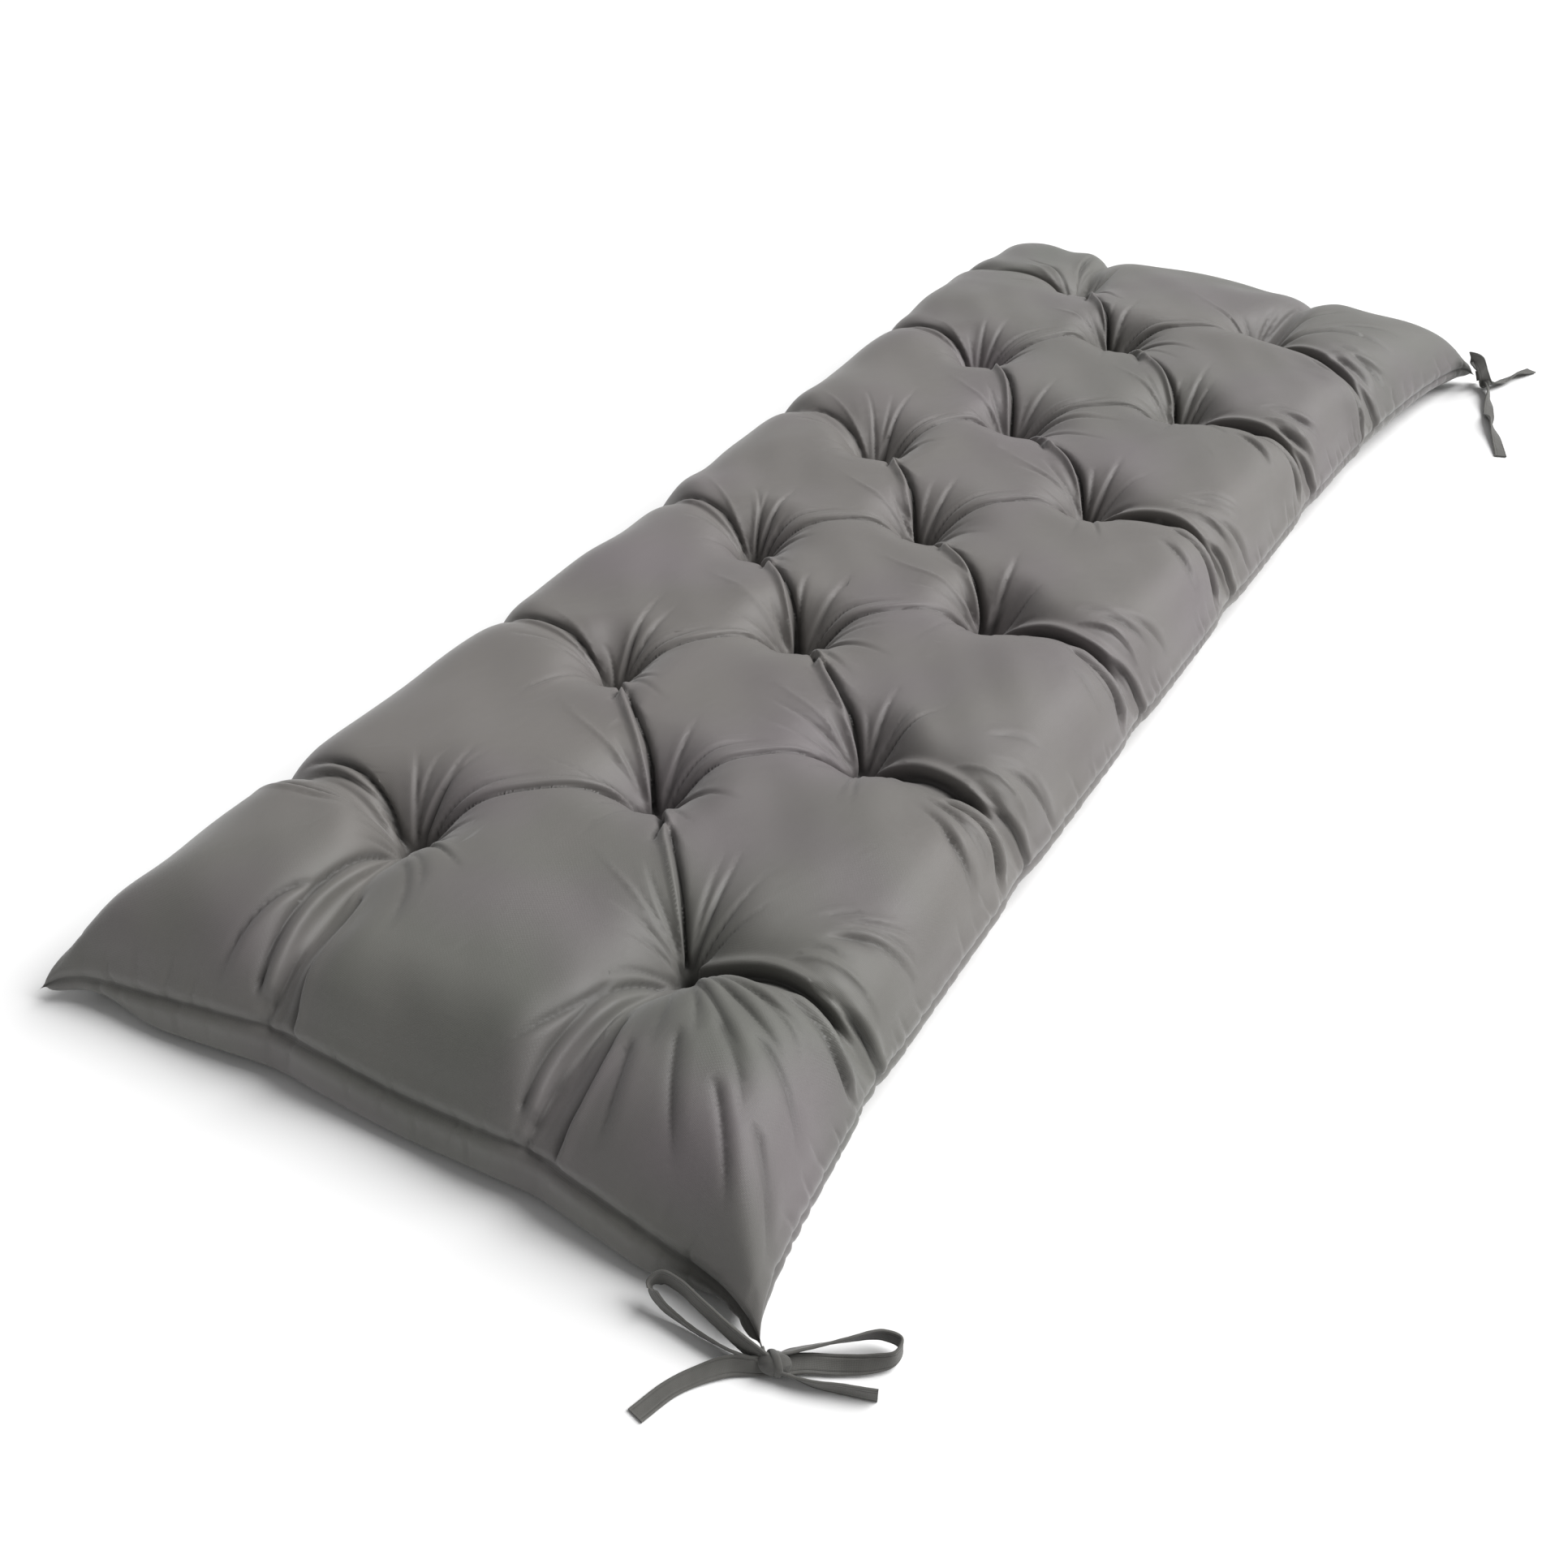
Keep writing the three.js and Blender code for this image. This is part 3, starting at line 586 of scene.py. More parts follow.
# The same for the creases that run along a fold: the end of the fold that they set out from, their
# turn off its direction, and begin and length as shares of it, past begin_mm. Length, bow and depth
# each differ from fold to fold by up to their spread.
FoldCrease = namedtuple("FoldCrease", "end turn begin_mm begin length length_spread bow bow_spread"
                                      " depth depth_spread width lip fade_in fade_out")
FROM_START, FROM_STOP = 0, 1
STEP_LENGTH = math.hypot(COLUMN_X, COLUMN_X)
TO_FAR_RIGHT = [
    # a thin arch from tuft to tuft, and two fainter ones beside it
    (FROM_START, 0, 3, 0, 1 - 6 / STEP_LENGTH, 0, 5, 0.4, 3.8, 0.2, 1.8, 0.35, 0.04, 0.06),
    (FROM_START, 9, 5, 0, 0.62, 0, 8, 0.4, 2.6, 0, 1.8, 0.35, 0.10, 0.6),
    (FROM_STOP, -8, 4, 0, 0.5, 0, -5, 0.5, 2.4, 0, 1.8, 0.35, 0.10, 0.6),
]
TO_FAR_LEFT = [
    # deep hooked folds from both tufts, a ridge and a faint crease beside them
    (FROM_START, 0, 3, 0, 0.74, 0.12, -5, 0.6, 9.0, 0.15, 2.3, 0.5, 0.06, 0.2),
    (FROM_STOP, -10, 3, 0, 0.42, 0.2, 6, 0, 7.5, 0.2, 2.2, 0.5, 0.10, 0.3),
    (FROM_STOP, 10, 5, 0, 0.62, 0.2, -5, 0, -2.0, 0, 1.8, 0.0, 0.15, 0.6),
    (FROM_START, 12, 5, 0, 0.44, 0.3, 5, 0, 2.2, 0, 2.0, 0.4, 0.12, 0.6),
]
TO_LEFT_SEAM = [
    # shallow, and marked again at the seam
    (FROM_START, 0, 5, 0, 0.72, 0.15, -7, 0.4, 4.8, 0.3, 2.3, 0.5, 0.10, 0.35),
    (FROM_START, 16, 6, 0, 0.55, 0.2, -4, 0, 2.6, 0, 2.2, 0.3, 0.15, 0.6),
    (FROM_START, 0, 0, 0.66, 0.34, 0, 3, 0, 3.0, 0.3, 2.4, 0.4, 0.3, 0.2),
]
TO_RIGHT_SEAM = [
    # deep, doubled towards the seam, with a ridge beside it
    (FROM_START, 0, 3, 0, 0.80, 0.08, 3, 0.5, 10.0, 0.1, 2.6, 0.55, 0.08, 0.2),
    (FROM_START, -13, 0, 0.50, 0.48, 0, 8, 0, 6.5, 0.2, 2.3, 0.5, 0.25, 0.2),
    (FROM_START, 8, 0, 0.40, 0.52, 0, 10, 0, -2.2, 0, 2.6, 0.0, 0.4, 0.4),
    (FROM_START, 3, 0, 0.70, 0.30, 0, 2, 0, 4.5, 0, 2.2, 0.4, 0.4, 0.05),
]
TO_FAR_SEAM = [(FROM_START, 0, 6, 0, 0.7, 0, 4, 0, 2.2, 0, 2.4, 0.3, 0.1, 0.5)]
TO_NEAR_SEAM = [
    # doubled, with a ridge between, and marked again at the seam
    (FROM_START, -5, 8, 0, 0.90, 0, -9, 0.3, 6.0, 0.15, 2.8, 0.6, 0.12, 0.05),
    (FROM_START, 4, 0, 0.42, 0.58, 0, 5, 0, 5.5, 0.15, 2.6, 0.5, 0.3, 0.05),
    (FROM_START, -1, 0, 0.34, 0.5, 0, 4, 0, -2.2, 0, 3.0, 0.0, 0.3, 0.3),
    (FROM_START, -2, 0, 0.70, 0.30, 0, 2, 0, 4.0, 0, 2.2, 0.4, 0.5, 0.05),
]
WRINKLES_PER_FOLD = 10        # round each fold to the right seam
GATHERS_PER_TUFT = 13
# Painted shade: the cloth's colour darkens with the depth of its creases, tuft pits and seam groove.
PAINTED_SHADE_DEPTH = 5               # how deep a crease is where its shade is fullest
GROOVE_REACH = 5              # how far from its line a crease is worked out, in widths
ROUND_SHARE, ROUND_POWER = 0.6, 1.25    # the round part of a groove
SHARP_SHARE, SHARP_FALL = 0.4, 2.2      # the sharp part in its middle
LIP_PLACE, LIP_REACH = 1.9, 1.5         # where the lip is and how wide, in widths
PIT_REACH = 5                 # how wide the pit of a tuft is
SEAM_REACH = 1.2              # how wide the seam's groove is
PUFF_SHARE, PUFF_PLACE, PUFF_REACH = 0.8, 5, 4      # the cloth's puff beside the seam
WAVE_MARGIN = 30              # how far from the seam the soft waves reach their height
SMOOTH_ROUNDS, SMOOTH_SHARE = 3, 0.2
OWN_FADES = (0.2, 0.4)
CORNER_MARGIN = 12            # how far from a corner the gathers of a seam begin
TOP_GATHERS, UNDER_GATHERS = (15, 1.1), (13, 1.0)   # spacing and depth


def crease_line(start, bearing, begin, length, bow, samples=18):
    """Points of a crease on the flat panel: an arc that sets out from a place on a bearing."""
    angle = math.radians(bearing)
    ahead = np.array([math.cos(angle), math.sin(angle)])
    left = np.array([-ahead[1], ahead[0]])
    share = np.linspace(0, 1, samples)[:, None]
    return np.asarray(start) + ahead * (begin + length * share) + left * bow * hump(share)


def fade(share, begin, end):
    """Rises from 0 over the first part of a crease and falls to 0 over its last part."""
    rise, fall = clamp01(share / begin), clamp01((1 - share) / end)
    return rise * rise * (3 - 2 * rise) * fall * fall * (3 - 2 * fall)


def press_crease(relief, s, t, crease, strength):
    """Sinks a crease into the relief of a panel, with its lip raised on the left."""
    line = crease_line(crease.start, crease.bearing, crease.begin, crease.length, crease.bow)
    width = crease.width
    reach = GROOVE_REACH * width
    low, high = line.min(0) - reach, line.max(0) + reach
    first_s, last_s = np.searchsorted(s, (low[0], high[0]))
    first_t, last_t = np.searchsorted(t, (low[1], high[1]))
    if first_s == last_s or first_t == last_t:
        return
    place = np.stack(np.meshgrid(s[first_s:last_s], t[first_t:last_t]), -1)[:, :, None]
    step = line[1:] - line[:-1]
    gap = place - line[:-1]
    along = clamp01((gap * step).sum(-1) / (step * step).sum(-1))
    off = gap - along[..., None] * step
    away = np.hypot(off[..., 0], off[..., 1])
    nearest = np.argmin(away, -1)[..., None]
    pick = lambda values: np.take_along_axis(values, nearest, -1)[..., 0]
    side = pick(np.sign(step[:, 0] * off[..., 1] - step[:, 1] * off[..., 0]))
    distance = pick(away)
    share = (pick(along) + nearest[..., 0]) / len(step)
    groove = (ROUND_SHARE * np.exp(-((distance / width) ** ROUND_POWER))
              + SHARP_SHARE * np.exp(-SHARP_FALL * distance / width))
    raised = bell(side * distance - LIP_PLACE * width, LIP_REACH * width)
    height = crease.depth * strength * fade(share, crease.fade_in, crease.fade_out)
    relief[first_t:last_t, first_s:last_s] += height * (crease.lip * raised - groove)


def tuft_places():
    """Where the tufts are on the flat panel."""
    return [(column, row) for column, rows, _, _ in TUFTS for row in rows]


def spread_by(value, spread, random):
    """The value, more or less by up to its spread as a share."""
    return value * (1 + random.uniform(-spread, spread)) if spread else value


def creases_along(start, stop, rows, random):
    """The creases of one fold, from its rows in the tables above."""
    fold_length = math.dist(start, stop)
    bearing = math.degrees(math.atan2(stop[1] - start[1], stop[0] - start[0]))
    creases = []
    for row in map(FoldCrease._make, rows):
        place, back = (stop, 180) if row.end == FROM_STOP else (start, 0)
        length = spread_by(fold_length * row.length, row.length_spread, random)
        bow = spread_by(row.bow, row.bow_spread, random)
        depth = spread_by(row.depth, row.depth_spread, random)
        creases.append(Crease(
            place, bearing + back + row.turn, row.begin_mm + fold_length * row.begin, length, bow, depth,
            row.width, row.lip, row.fade_in, row.fade_out))
    return creases


def seam_wrinkles(start, stop, random):
    """Small wrinkles on both sides of a fold to the right seam, nearer to the seam."""
    length = stop[0] - start[0]
    return [
        Crease(start, random.uniform(-30, 34), length * random.uniform(0.42, 0.66),
               length * random.uniform(0.26, 0.48), random.uniform(-3, 9), random.uniform(1.2, 3.2),
               random.uniform(2.0, 3.6), 0.5, 0.4, 0.5)
        for _ in range(WRINKLES_PER_FOLD)]


def fold_creases(form, random):
    """The creases along every fold of the form."""
    creases = []
    for start, stop, *_ in form.folds:
        if stop[0] == 0:
            if stop[1] < start[1]:
                start, stop = stop, start
            creases += creases_along(start, stop, TO_FAR_RIGHT if stop[0] > start[0] else TO_FAR_LEFT, random)
        elif stop[0] == -form.half_width:
            creases += creases_along(start, stop, TO_LEFT_SEAM, random)
        elif stop[0] == form.half_width:
            creases += creases_along(start, stop, TO_RIGHT_SEAM, random)
            creases += seam_wrinkles(start, stop, random)
        else:
            creases += creases_along(start, stop, TO_FAR_SEAM if stop[1] > 0 else TO_NEAR_SEAM, random)
    return creases


def tuft_creases(random):
    """Fine creases round every tuft: one lengthwise, one ridge across, and short gathers all round."""
    creases = []
    for place in tuft_places():
        creases.append(Crease(
            place, random.uniform(92, 102), 5, random.uniform(70, 100), random.uniform(-5, 2),
            random.uniform(2.6, 3.8), 1.9, 0.3, 0.08, 0.8))
        creases.append(Crease(
            place, random.uniform(152, 166), 6, random.uniform(80, 115), random.uniform(-3, 6),
            -1.5, 2.0, 0.0, 0.15, 0.75))
        for k in range(GATHERS_PER_TUFT):
            bearing = 360 * (k + random.uniform(-0.35, 0.35)) / GATHERS_PER_TUFT
            creases.append(Crease(
                place, bearing, 2.5, random.uniform(24, 86), random.uniform(-5, 5),
                random.uniform(1.2, 3.3), random.uniform(1.5, 2.3), 0.4, 0.10, 0.75))
    return creases


def seam_gathers(form, random, spacing, depth):
    """Short gathers that run in from the seam, all round a panel."""
    creases = []
    for half, other, bearing, flip in (
            (form.half_length, form.half_width, 0, -1), (form.half_length, form.half_width, 180, 1),
            (form.half_width, form.half_length, 90, -1), (form.half_width, form.half_length, 270, 1)):
        at = CORNER_MARGIN - half
        while at < half - CORNER_MARGIN:
            at += spacing * random.uniform(0.5, 1.6)
            place = (flip * other, at) if bearing in (0, 180) else (at, flip * other)
            creases.append(Crease(
                place, bearing + random.uniform(-25, 25), 0, random.uniform(9, 30), random.uniform(-3, 3),
                depth * random.uniform(0.3, 1.3), random.uniform(1.6, 3.2), 0.35, 0.05, 0.8))
    return creases


def soft_waves(s, t, random, count=26, shortest=34, longest=120, height=0.0034):
    """The slight unevenness of filled cloth: many faint waves, higher the longer they are."""
    across, along = np.meshgrid(s, t)
    relief = np.zeros_like(across)
    for _ in range(count):
        wavelength = random.uniform(shortest, longest)
        angle, phase = random.uniform(0, math.pi), random.uniform(0, 2 * math.pi)
        run = across * math.cos(angle) + along * math.sin(angle)
        relief += height * wavelength * np.cos(2 * math.pi * run / wavelength + phase)
    return relief


def crease_panel(panel, s, t, creases, pits, waves, cloth, outward):
    """Presses creases, tuft pits and the seam into a panel, along its own outward direction, and returns
    their depth as painted shade for the cloth's colour.
    """
    relief = np.zeros(panel.shape[:2])
    for crease in creases:
        press_crease(relief, s, t, crease, cloth.crease_depth)
    across, along = np.meshgrid(s, t)
    for column, row in pits:
        relief -= cloth.tuft_pit / MM * np.exp(-np.hypot(across - column, along - row) / PIT_REACH)
    inward = np.minimum(s[-1] - abs(across), t[-1] - abs(along))
    puff = PUFF_SHARE * bell(inward - PUFF_PLACE, PUFF_REACH)
    relief += cloth.seam_sink / MM * (puff - np.exp(-inward / SEAM_REACH))
    # Painted shade, darkest where a crease, a tuft pit or the seam's groove is deepest.
    shade = clamp01(-relief / PAINTED_SHADE_DEPTH)
    relief += waves * clamp01(inward / WAVE_MARGIN)
    away = area_normals(panel)
    away /= np.linalg.norm(away, axis=-1)[..., None] + 1e-12
    panel += outward * away * (relief * MM)[..., None]
    return shade


def crease_cloth(form, cloth, top, under):
    """Creases both panels on cells half as large."""
    random = np.random.default_rng(cloth.seed + 1)
    s, t = flat_grid(form, len(PASSES))
    top, under = refine(top), refine(under)
    for _ in range(SMOOTH_ROUNDS):
        even_out(top, SMOOTH_SHARE)
        even_out(under, SMOOTH_SHARE)
    seam = (top + under) / 2
    for line in SEAM_LINES:
        top[line] = under[line] = seam[line]
    own = [Crease((column * COLUMN_X, (OUTER_ROWS if column else MIDDLE_ROWS)[row]), *sizes, *OWN_FADES)
           for column, row, *sizes in OWN_CREASES]
    creases = own + fold_creases(form, random) + tuft_creases(random)
    creases += seam_gathers(form, random, *TOP_GATHERS)
    waves = soft_waves(s, t, random)
    top_painted_shade = crease_panel(top, s, t, creases, tuft_places(), waves, cloth, 1)
    gathers = seam_gathers(form, random, *UNDER_GATHERS)
    under_painted_shade = crease_panel(under, s, t, gathers, [], 0, cloth, -1)
    for line in SEAM_LINES:
        top[line] = under[line] = (top[line] + under[line]) / 2
    top[..., 2] = np.maximum(top[..., 2], 0)
    under[..., 2] = np.maximum(under[..., 2], 0)
    return top, under, s, t, top_painted_shade, under_painted_shade


# ---------------------------------------------------------------- meshes
def link_mesh(name, vertices, faces, uvs, caps=()):
    """A smooth mesh object at the origin, with its UV map in metres of cloth."""
    sizes = [4] * len(faces) + [len(cap) for cap in caps]
    corners = np.concatenate([np.ravel(faces)] + [np.array(cap) for cap in caps]).astype(np.int32)
    mesh = bpy.data.meshes.new(name)
    mesh.vertices.add(len(vertices))
    mesh.vertices.foreach_set("co", np.asarray(vertices, np.float32).ravel())
    mesh.loops.add(len(corners))
    mesh.loops.foreach_set("vertex_index", corners)
    mesh.polygons.add(len(sizes))
    starts = np.concatenate([[0], np.cumsum(sizes)[:-1]]).astype(np.int32)
    mesh.polygons.foreach_set("loop_start", starts)
    mesh.update(calc_edges=True)
    mesh.polygons.foreach_set("use_smooth", np.ones(len(sizes), bool))
    layer = mesh.uv_layers.new(name="cloth")
    spare = np.zeros((len(corners) - len(uvs), 2))
    layer.data.foreach_set("uv", np.concatenate([uvs, spare]).astype(np.float32).ravel())
    mesh.validate()
    piece = bpy.data.objects.new(name, mesh)
    bpy.context.scene.collection.objects.link(piece)
    return piece


def quads(ids):
    """The four-sided faces of a grid of vertex numbers."""
    return np.stack([ids[:-1, :-1], ids[:-1, 1:], ids[1:, 1:], ids[1:, :-1]], -1).reshape(-1, 4)


def cover_mesh(name, top, under, s, t, top_painted_shade, under_painted_shade):
    """Both panels joined along the seam, with how deep in a crease each place is, kept as painted shade for
    the cloth's colour.
    """
    rows, columns = top.shape[:2]
    ids = np.arange(rows * columns).reshape(rows, columns)
    under_ids = ids.copy()
    under_ids[1:-1, 1:-1] = rows * columns + np.arange((rows - 2) * (columns - 2)).reshape(rows - 2, -1)
    vertices = np.concatenate([top.reshape(-1, 3), under[1:-1, 1:-1].reshape(-1, 3)])
    faces = np.concatenate([quads(ids), quads(under_ids)[:, ::-1]])
    flat = np.stack(np.meshgrid(s, t), -1).reshape(-1, 2) * MM
    uvs = np.concatenate([flat[quads(ids)], flat[quads(ids)[:, ::-1]]]).reshape(-1, 2)
    cover = link_mesh(name, vertices, faces, uvs)
    # The crease attribute carries painted shade: it darkens the cloth's colour in creases, pits and the seam
    # groove.
    shade = cover.data.attributes.new("crease", "FLOAT", "POINT")
    shade.data.foreach_set("value", np.concatenate([top_painted_shade.ravel(), under_painted_shade[1:-1, 1:-1].ravel()]))
    return cover


def thin_mesh(piece, most_triangles):
    """Merges a piece's flattest faces until it has no more triangles than this."""
    triangles = sum(len(face.vertices) - 2 for face in piece.data.polygons)
    if triangles <= most_triangles:
        return
    thinner = piece.modifiers.new("thinner", "DECIMATE")
    thinner.ratio = most_triangles / triangles
    dense = piece.data
    thinned = piece.evaluated_get(bpy.context.evaluated_depsgraph_get())
    piece.data = bpy.data.meshes.new_from_object(thinned)
    piece.data.name = piece.name
    piece.modifiers.clear()
    bpy.data.meshes.remove(dense)


def smooth_route(points, samples):
    """A smooth curve through points: centripetal spans, the same as the CAD tapes follow."""
    points = np.asarray(points, float)
    ends = [2 * points[0] - points[1], *points, 2 * points[-1] - points[-2]]
    out = []
    for u in np.linspace(0, len(points) - 1, samples):
        span = min(int(u), len(points) - 2)
        p0, p1, p2, p3 = ends[span:span + 4]
        w = u - span
        d01, d12, d23 = (max(float((a - b) @ (a - b)) ** 0.25, 1e-4)
                         for a, b in ((p1, p0), (p2, p1), (p3, p2)))
        m1 = ((p1 - p0) / d01 - (p2 - p0) / (d01 + d12) + (p2 - p1) / d12) * d12
        m2 = ((p2 - p1) / d12 - (p3 - p1) / (d12 + d23) + (p3 - p2) / d23) * d12
        out.append(p1 * (2 * w**3 - 3 * w**2 + 1) + m1 * (w**3 - 2 * w**2 + w)
                   + p2 * (3 * w**2 - 2 * w**3) + m2 * (w**3 - w**2))
    return np.array(out)


def even_steps(points, values, step):
    """Points and values at even steps along a line of points."""
    run = np.concatenate([[0], np.cumsum(np.linalg.norm(np.diff(points, axis=0), axis=1))])
    at = np.linspace(0, run[-1], int(round(run[-1] / step)) + 1)
    pick = lambda column: np.interp(at, run, column)
    return np.stack([pick(points[:, i]) for i in range(3)], -1), pick(values), run[-1]


# Half of a tape's section: place across as a share of the half width, and half thickness as a share.
TAPE_EDGE = [(1.0, 0.0), (0.985, 0.45), (0.95, 0.8), (0.90, 1.0)]
TAPE_INSIDE = [(0.45, 0.86), (0.0, 0.82)]
STITCH_SHARE = 0.04           # how wide a stitched groove is
SAMPLES_PER_POINT = 60        # on a route, before it is cut into even steps
TAPE_STEP = 1.0 * MM
LEAN_WINDOW = 9               # steps over which the tape's lean is evened out
RIPPLE, RIPPLE_RATE = 0.05, 900       # share of the thickness, and radians for each metre
SWAY, SWAY_RATE = 0.00022, 260        # in metres, and radians for each metre
FLOOR_GAP = 0.00005           # what keeps tapes and knots off the floor's own plane


def tape_section(sizes):
    """The whole section, once round, and how many of its points are on its upper half."""
    inset = 1 - sizes.stitch_inset / (sizes.tape_width / 2)
    stitch = [(inset + STITCH_SHARE, 1.0), (inset, 0.62), (inset - STITCH_SHARE, 0.92)]
    profile = TAPE_EDGE + stitch + TAPE_INSIDE
    upper = profile + [(-a, b) for a, b in profile[-2::-1]]
    return upper + [(a, -b) for a, b in upper[-2:0:-1]], len(upper)


def tape_mesh(route, sizes, middle, wave):
    """A folded and stitched tape that follows a route, with rounded edges and closed ends."""
    route = np.array(route, float)
    samples = SAMPLES_PER_POINT * len(route)
    line = smooth_route((route[:, :3] - middle) * MM, samples)
    lean = np.interp(np.linspace(0, len(route) - 1, samples), np.arange(len(route)), route[:, 3])
    line, lean, length = even_steps(line, lean, TAPE_STEP)
    kernel = np.hanning(LEAN_WINDOW) / np.hanning(LEAN_WINDOW).sum()
    lean = np.radians(np.convolve(np.pad(lean, LEAN_WINDOW // 2, mode="edge"), kernel, mode="valid"))
    tangent = np.gradient(line, axis=0)
    tangent /= np.linalg.norm(tangent, axis=1)[:, None]
    level = np.cross(tangent, [0, 0, 1])
    level /= np.linalg.norm(level, axis=1)[:, None]
    upright = np.cross(level, tangent)
    across = level * np.cos(lean)[:, None] + upright * np.sin(lean)[:, None]
    through = np.cross(across, tangent)
    half_width, half_thick = sizes.tape_width / 2, sizes.tape_thickness / 2
    section, upper_count = tape_section(sizes)
    count, sides = len(line), len(section)
    run = np.arange(count) * TAPE_STEP
    rings = []
    for a, b in section:
        ripple = 1 + RIPPLE * np.sin(run * RIPPLE_RATE + wave + 2 * a)
        sway = SWAY * np.sin(run * SWAY_RATE + wave) * (1 - a * a)
        rings.append(line + across * (a * half_width) + through * (b * half_thick * ripple + sway)[:, None])
    rings = np.stack(rings, 1)
    rings[..., 2] = np.maximum(rings[..., 2], FLOOR_GAP)
    ids = np.arange(count * sides).reshape(count, sides)
    faces = quads(np.concatenate([ids, ids[:, :1]], 1))
    turns = np.cumsum([0] + [math.hypot((a2 - a1) * half_width, (b2 - b1) * half_thick)
                             for (a1, b1), (a2, b2) in zip(section, section[1:] + section[:1])])
    flat = np.stack(np.meshgrid(turns, run), -1).reshape(-1, 2)
    uvs = flat[quads(np.arange(count * (sides + 1)).reshape(count, sides + 1))].reshape(-1, 2)
    # Each end is closed by strips between the upper and the lower half of its section.
    caps = []
    for ring, flip in ((ids[0], False), (ids[-1], True)):
        low = np.concatenate([ring[:1], ring[:upper_count - 2:-1]])
        for a, b, c, d in zip(ring, ring[1:upper_count], low[1:], low):
            corners = list(dict.fromkeys([a, b, c, d]))
            caps.append(corners[::-1] if flip else corners)
    return line, length, rings.reshape(-1, 3), faces, uvs, caps


# ---------------------------------------------------------------- materials
def new_group(name, inputs, outputs):
    """A shader node group with its inputs and outputs, and its two end nodes."""
    group = bpy.data.node_groups.new(name, "ShaderNodeTree")
    for label, kind, value in inputs:
        socket = group.interface.new_socket(label, in_out="INPUT", socket_type=kind)
        if value is not None:
            socket.default_value = value
    for label, kind in outputs:
        group.interface.new_socket(label, in_out="OUTPUT", socket_type=kind)
    return group, group.nodes.new("NodeGroupInput"), group.nodes.new("NodeGroupOutput")


def feed(tree, socket, value):
    """Sets a socket to a value, or links another node's output to it."""
    if isinstance(value, (int, float, tuple)):
        socket.default_value = value
    else:
        tree.links.new(value, socket)


def math_node(tree, operation, *values, clamp=False):
    """The result of one operation on numbers or on other nodes' outputs."""
    node = tree.nodes.new("ShaderNodeMath")
    node.operation, node.use_clamp = operation, clamp
    for socket, value in zip(node.inputs, values):
        feed(tree, socket, value)
    return node.outputs[0]


def mix_colours(tree, factor, first, second):
    """A mix of two colours, all of the second where the factor is 1."""
    node = tree.nodes.new("ShaderNodeMix")
    node.data_type = "RGBA"
    for index, value in ((0, factor), (6, first), (7, second)):
        feed(tree, node.inputs[index], value)
    return node.outputs[2]


def noise(tree, vector, scale, detail=2.0, roughness=0.5):
    """Smooth random values about 0.5, with its scale in patches for each unit."""
    node = tree.nodes.new("ShaderNodeTexNoise")
    for label, value in (("Vector", vector), ("Scale", scale), ("Detail", detail), ("Roughness", roughness)):
        feed(tree, node.inputs[label], value)
    return node.outputs["Fac"]


SLUB_STRETCH = (1.0, 0.06, 1.0)         # slubs are long along the threads
SLUBS_PER_THREAD = 0.35


def weave_group(name):
    """Plain weave: threads over and under each other, with slubs along them."""
    group, start, end = new_group(
        name,
        [("Vector", "NodeSocketVector", None), ("Threads per metre", "NodeSocketFloat", 1600.0),
         ("Slub", "NodeSocketFloat", 0.35)],
        [("Height", "NodeSocketFloat"), ("Thread tone", "NodeSocketFloat")])
    place, pitch = start.outputs["Vector"], start.outputs["Threads per metre"]
    split = group.nodes.new("ShaderNodeSeparateXYZ")
    feed(group, split.inputs[0], place)
    angles = [math_node(group, "MULTIPLY", math_node(group, "MULTIPLY", split.outputs[axis], pitch), math.pi)
              for axis in ("X", "Y")]
    crown = [math_node(group, "ABSOLUTE", math_node(group, "SINE", angle)) for angle in angles]
    waves = [math_node(group, "SINE", math_node(group, "MULTIPLY", angle, 0.5)) for angle in angles]
    over = math_node(group, "MULTIPLY_ADD", math_node(group, "MULTIPLY", *waves), 0.5, 0.5)
    under = math_node(group, "SUBTRACT", 1.0, over)
    height = math_node(group, "ADD", math_node(group, "MULTIPLY", crown[0], over),
                       math_node(group, "MULTIPLY", crown[1], under))
    stretch = group.nodes.new("ShaderNodeVectorMath")
    stretch.operation = "MULTIPLY"
    feed(group, stretch.inputs[0], place)
    feed(group, stretch.inputs[1], SLUB_STRETCH)
    slubs = noise(group, stretch.outputs[0], math_node(group, "MULTIPLY", pitch, SLUBS_PER_THREAD))
    slubs = math_node(group, "SUBTRACT", slubs, 0.5)
    tone = math_node(group, "MULTIPLY_ADD", slubs, start.outputs["Slub"], 0.5)
    slubbed = math_node(group, "ADD", height, math_node(group, "SUBTRACT", tone, 0.5))
    feed(group, end.inputs["Height"], slubbed)
    feed(group, end.inputs["Thread tone"], tone)
    return group


# Noise of the cloth's shade, in patches for each metre, and how far each tone goes.
COOL_PATCHES, WARM_PATCHES, DULL_PATCHES = 4.5, 9.0, 26.0
# The crease share is how far the painted shade in the creases darkens the colour.
WARM_SHARE, THREAD_SHARE, PAINTED_CREASE_SHADE_SHARE = 0.8, 0.16, 0.6
DULL_SWING = 0.16             # how much the roughness changes over the cloth
COOL_LEVELS, WARM_LEVELS = (2.4, -0.9), (3.2, -1.45)     # gain and offset of each noise
# The end levels paint shade: the cloth turns to its darker, greener tone towards both ends.
END_SHADE_LEVELS = (2.2, -0.85)     # the same for the distance from the middle, in metres
# Near-black colour of the painted shade in the creases.
PAINTED_CREASE_SHADE_COLOUR, BLACK = (0.012, 0.012, 0.011, 1), (0.0, 0.0, 0.0, 1)
GREY = (0.2, 0.2, 0.2, 1)


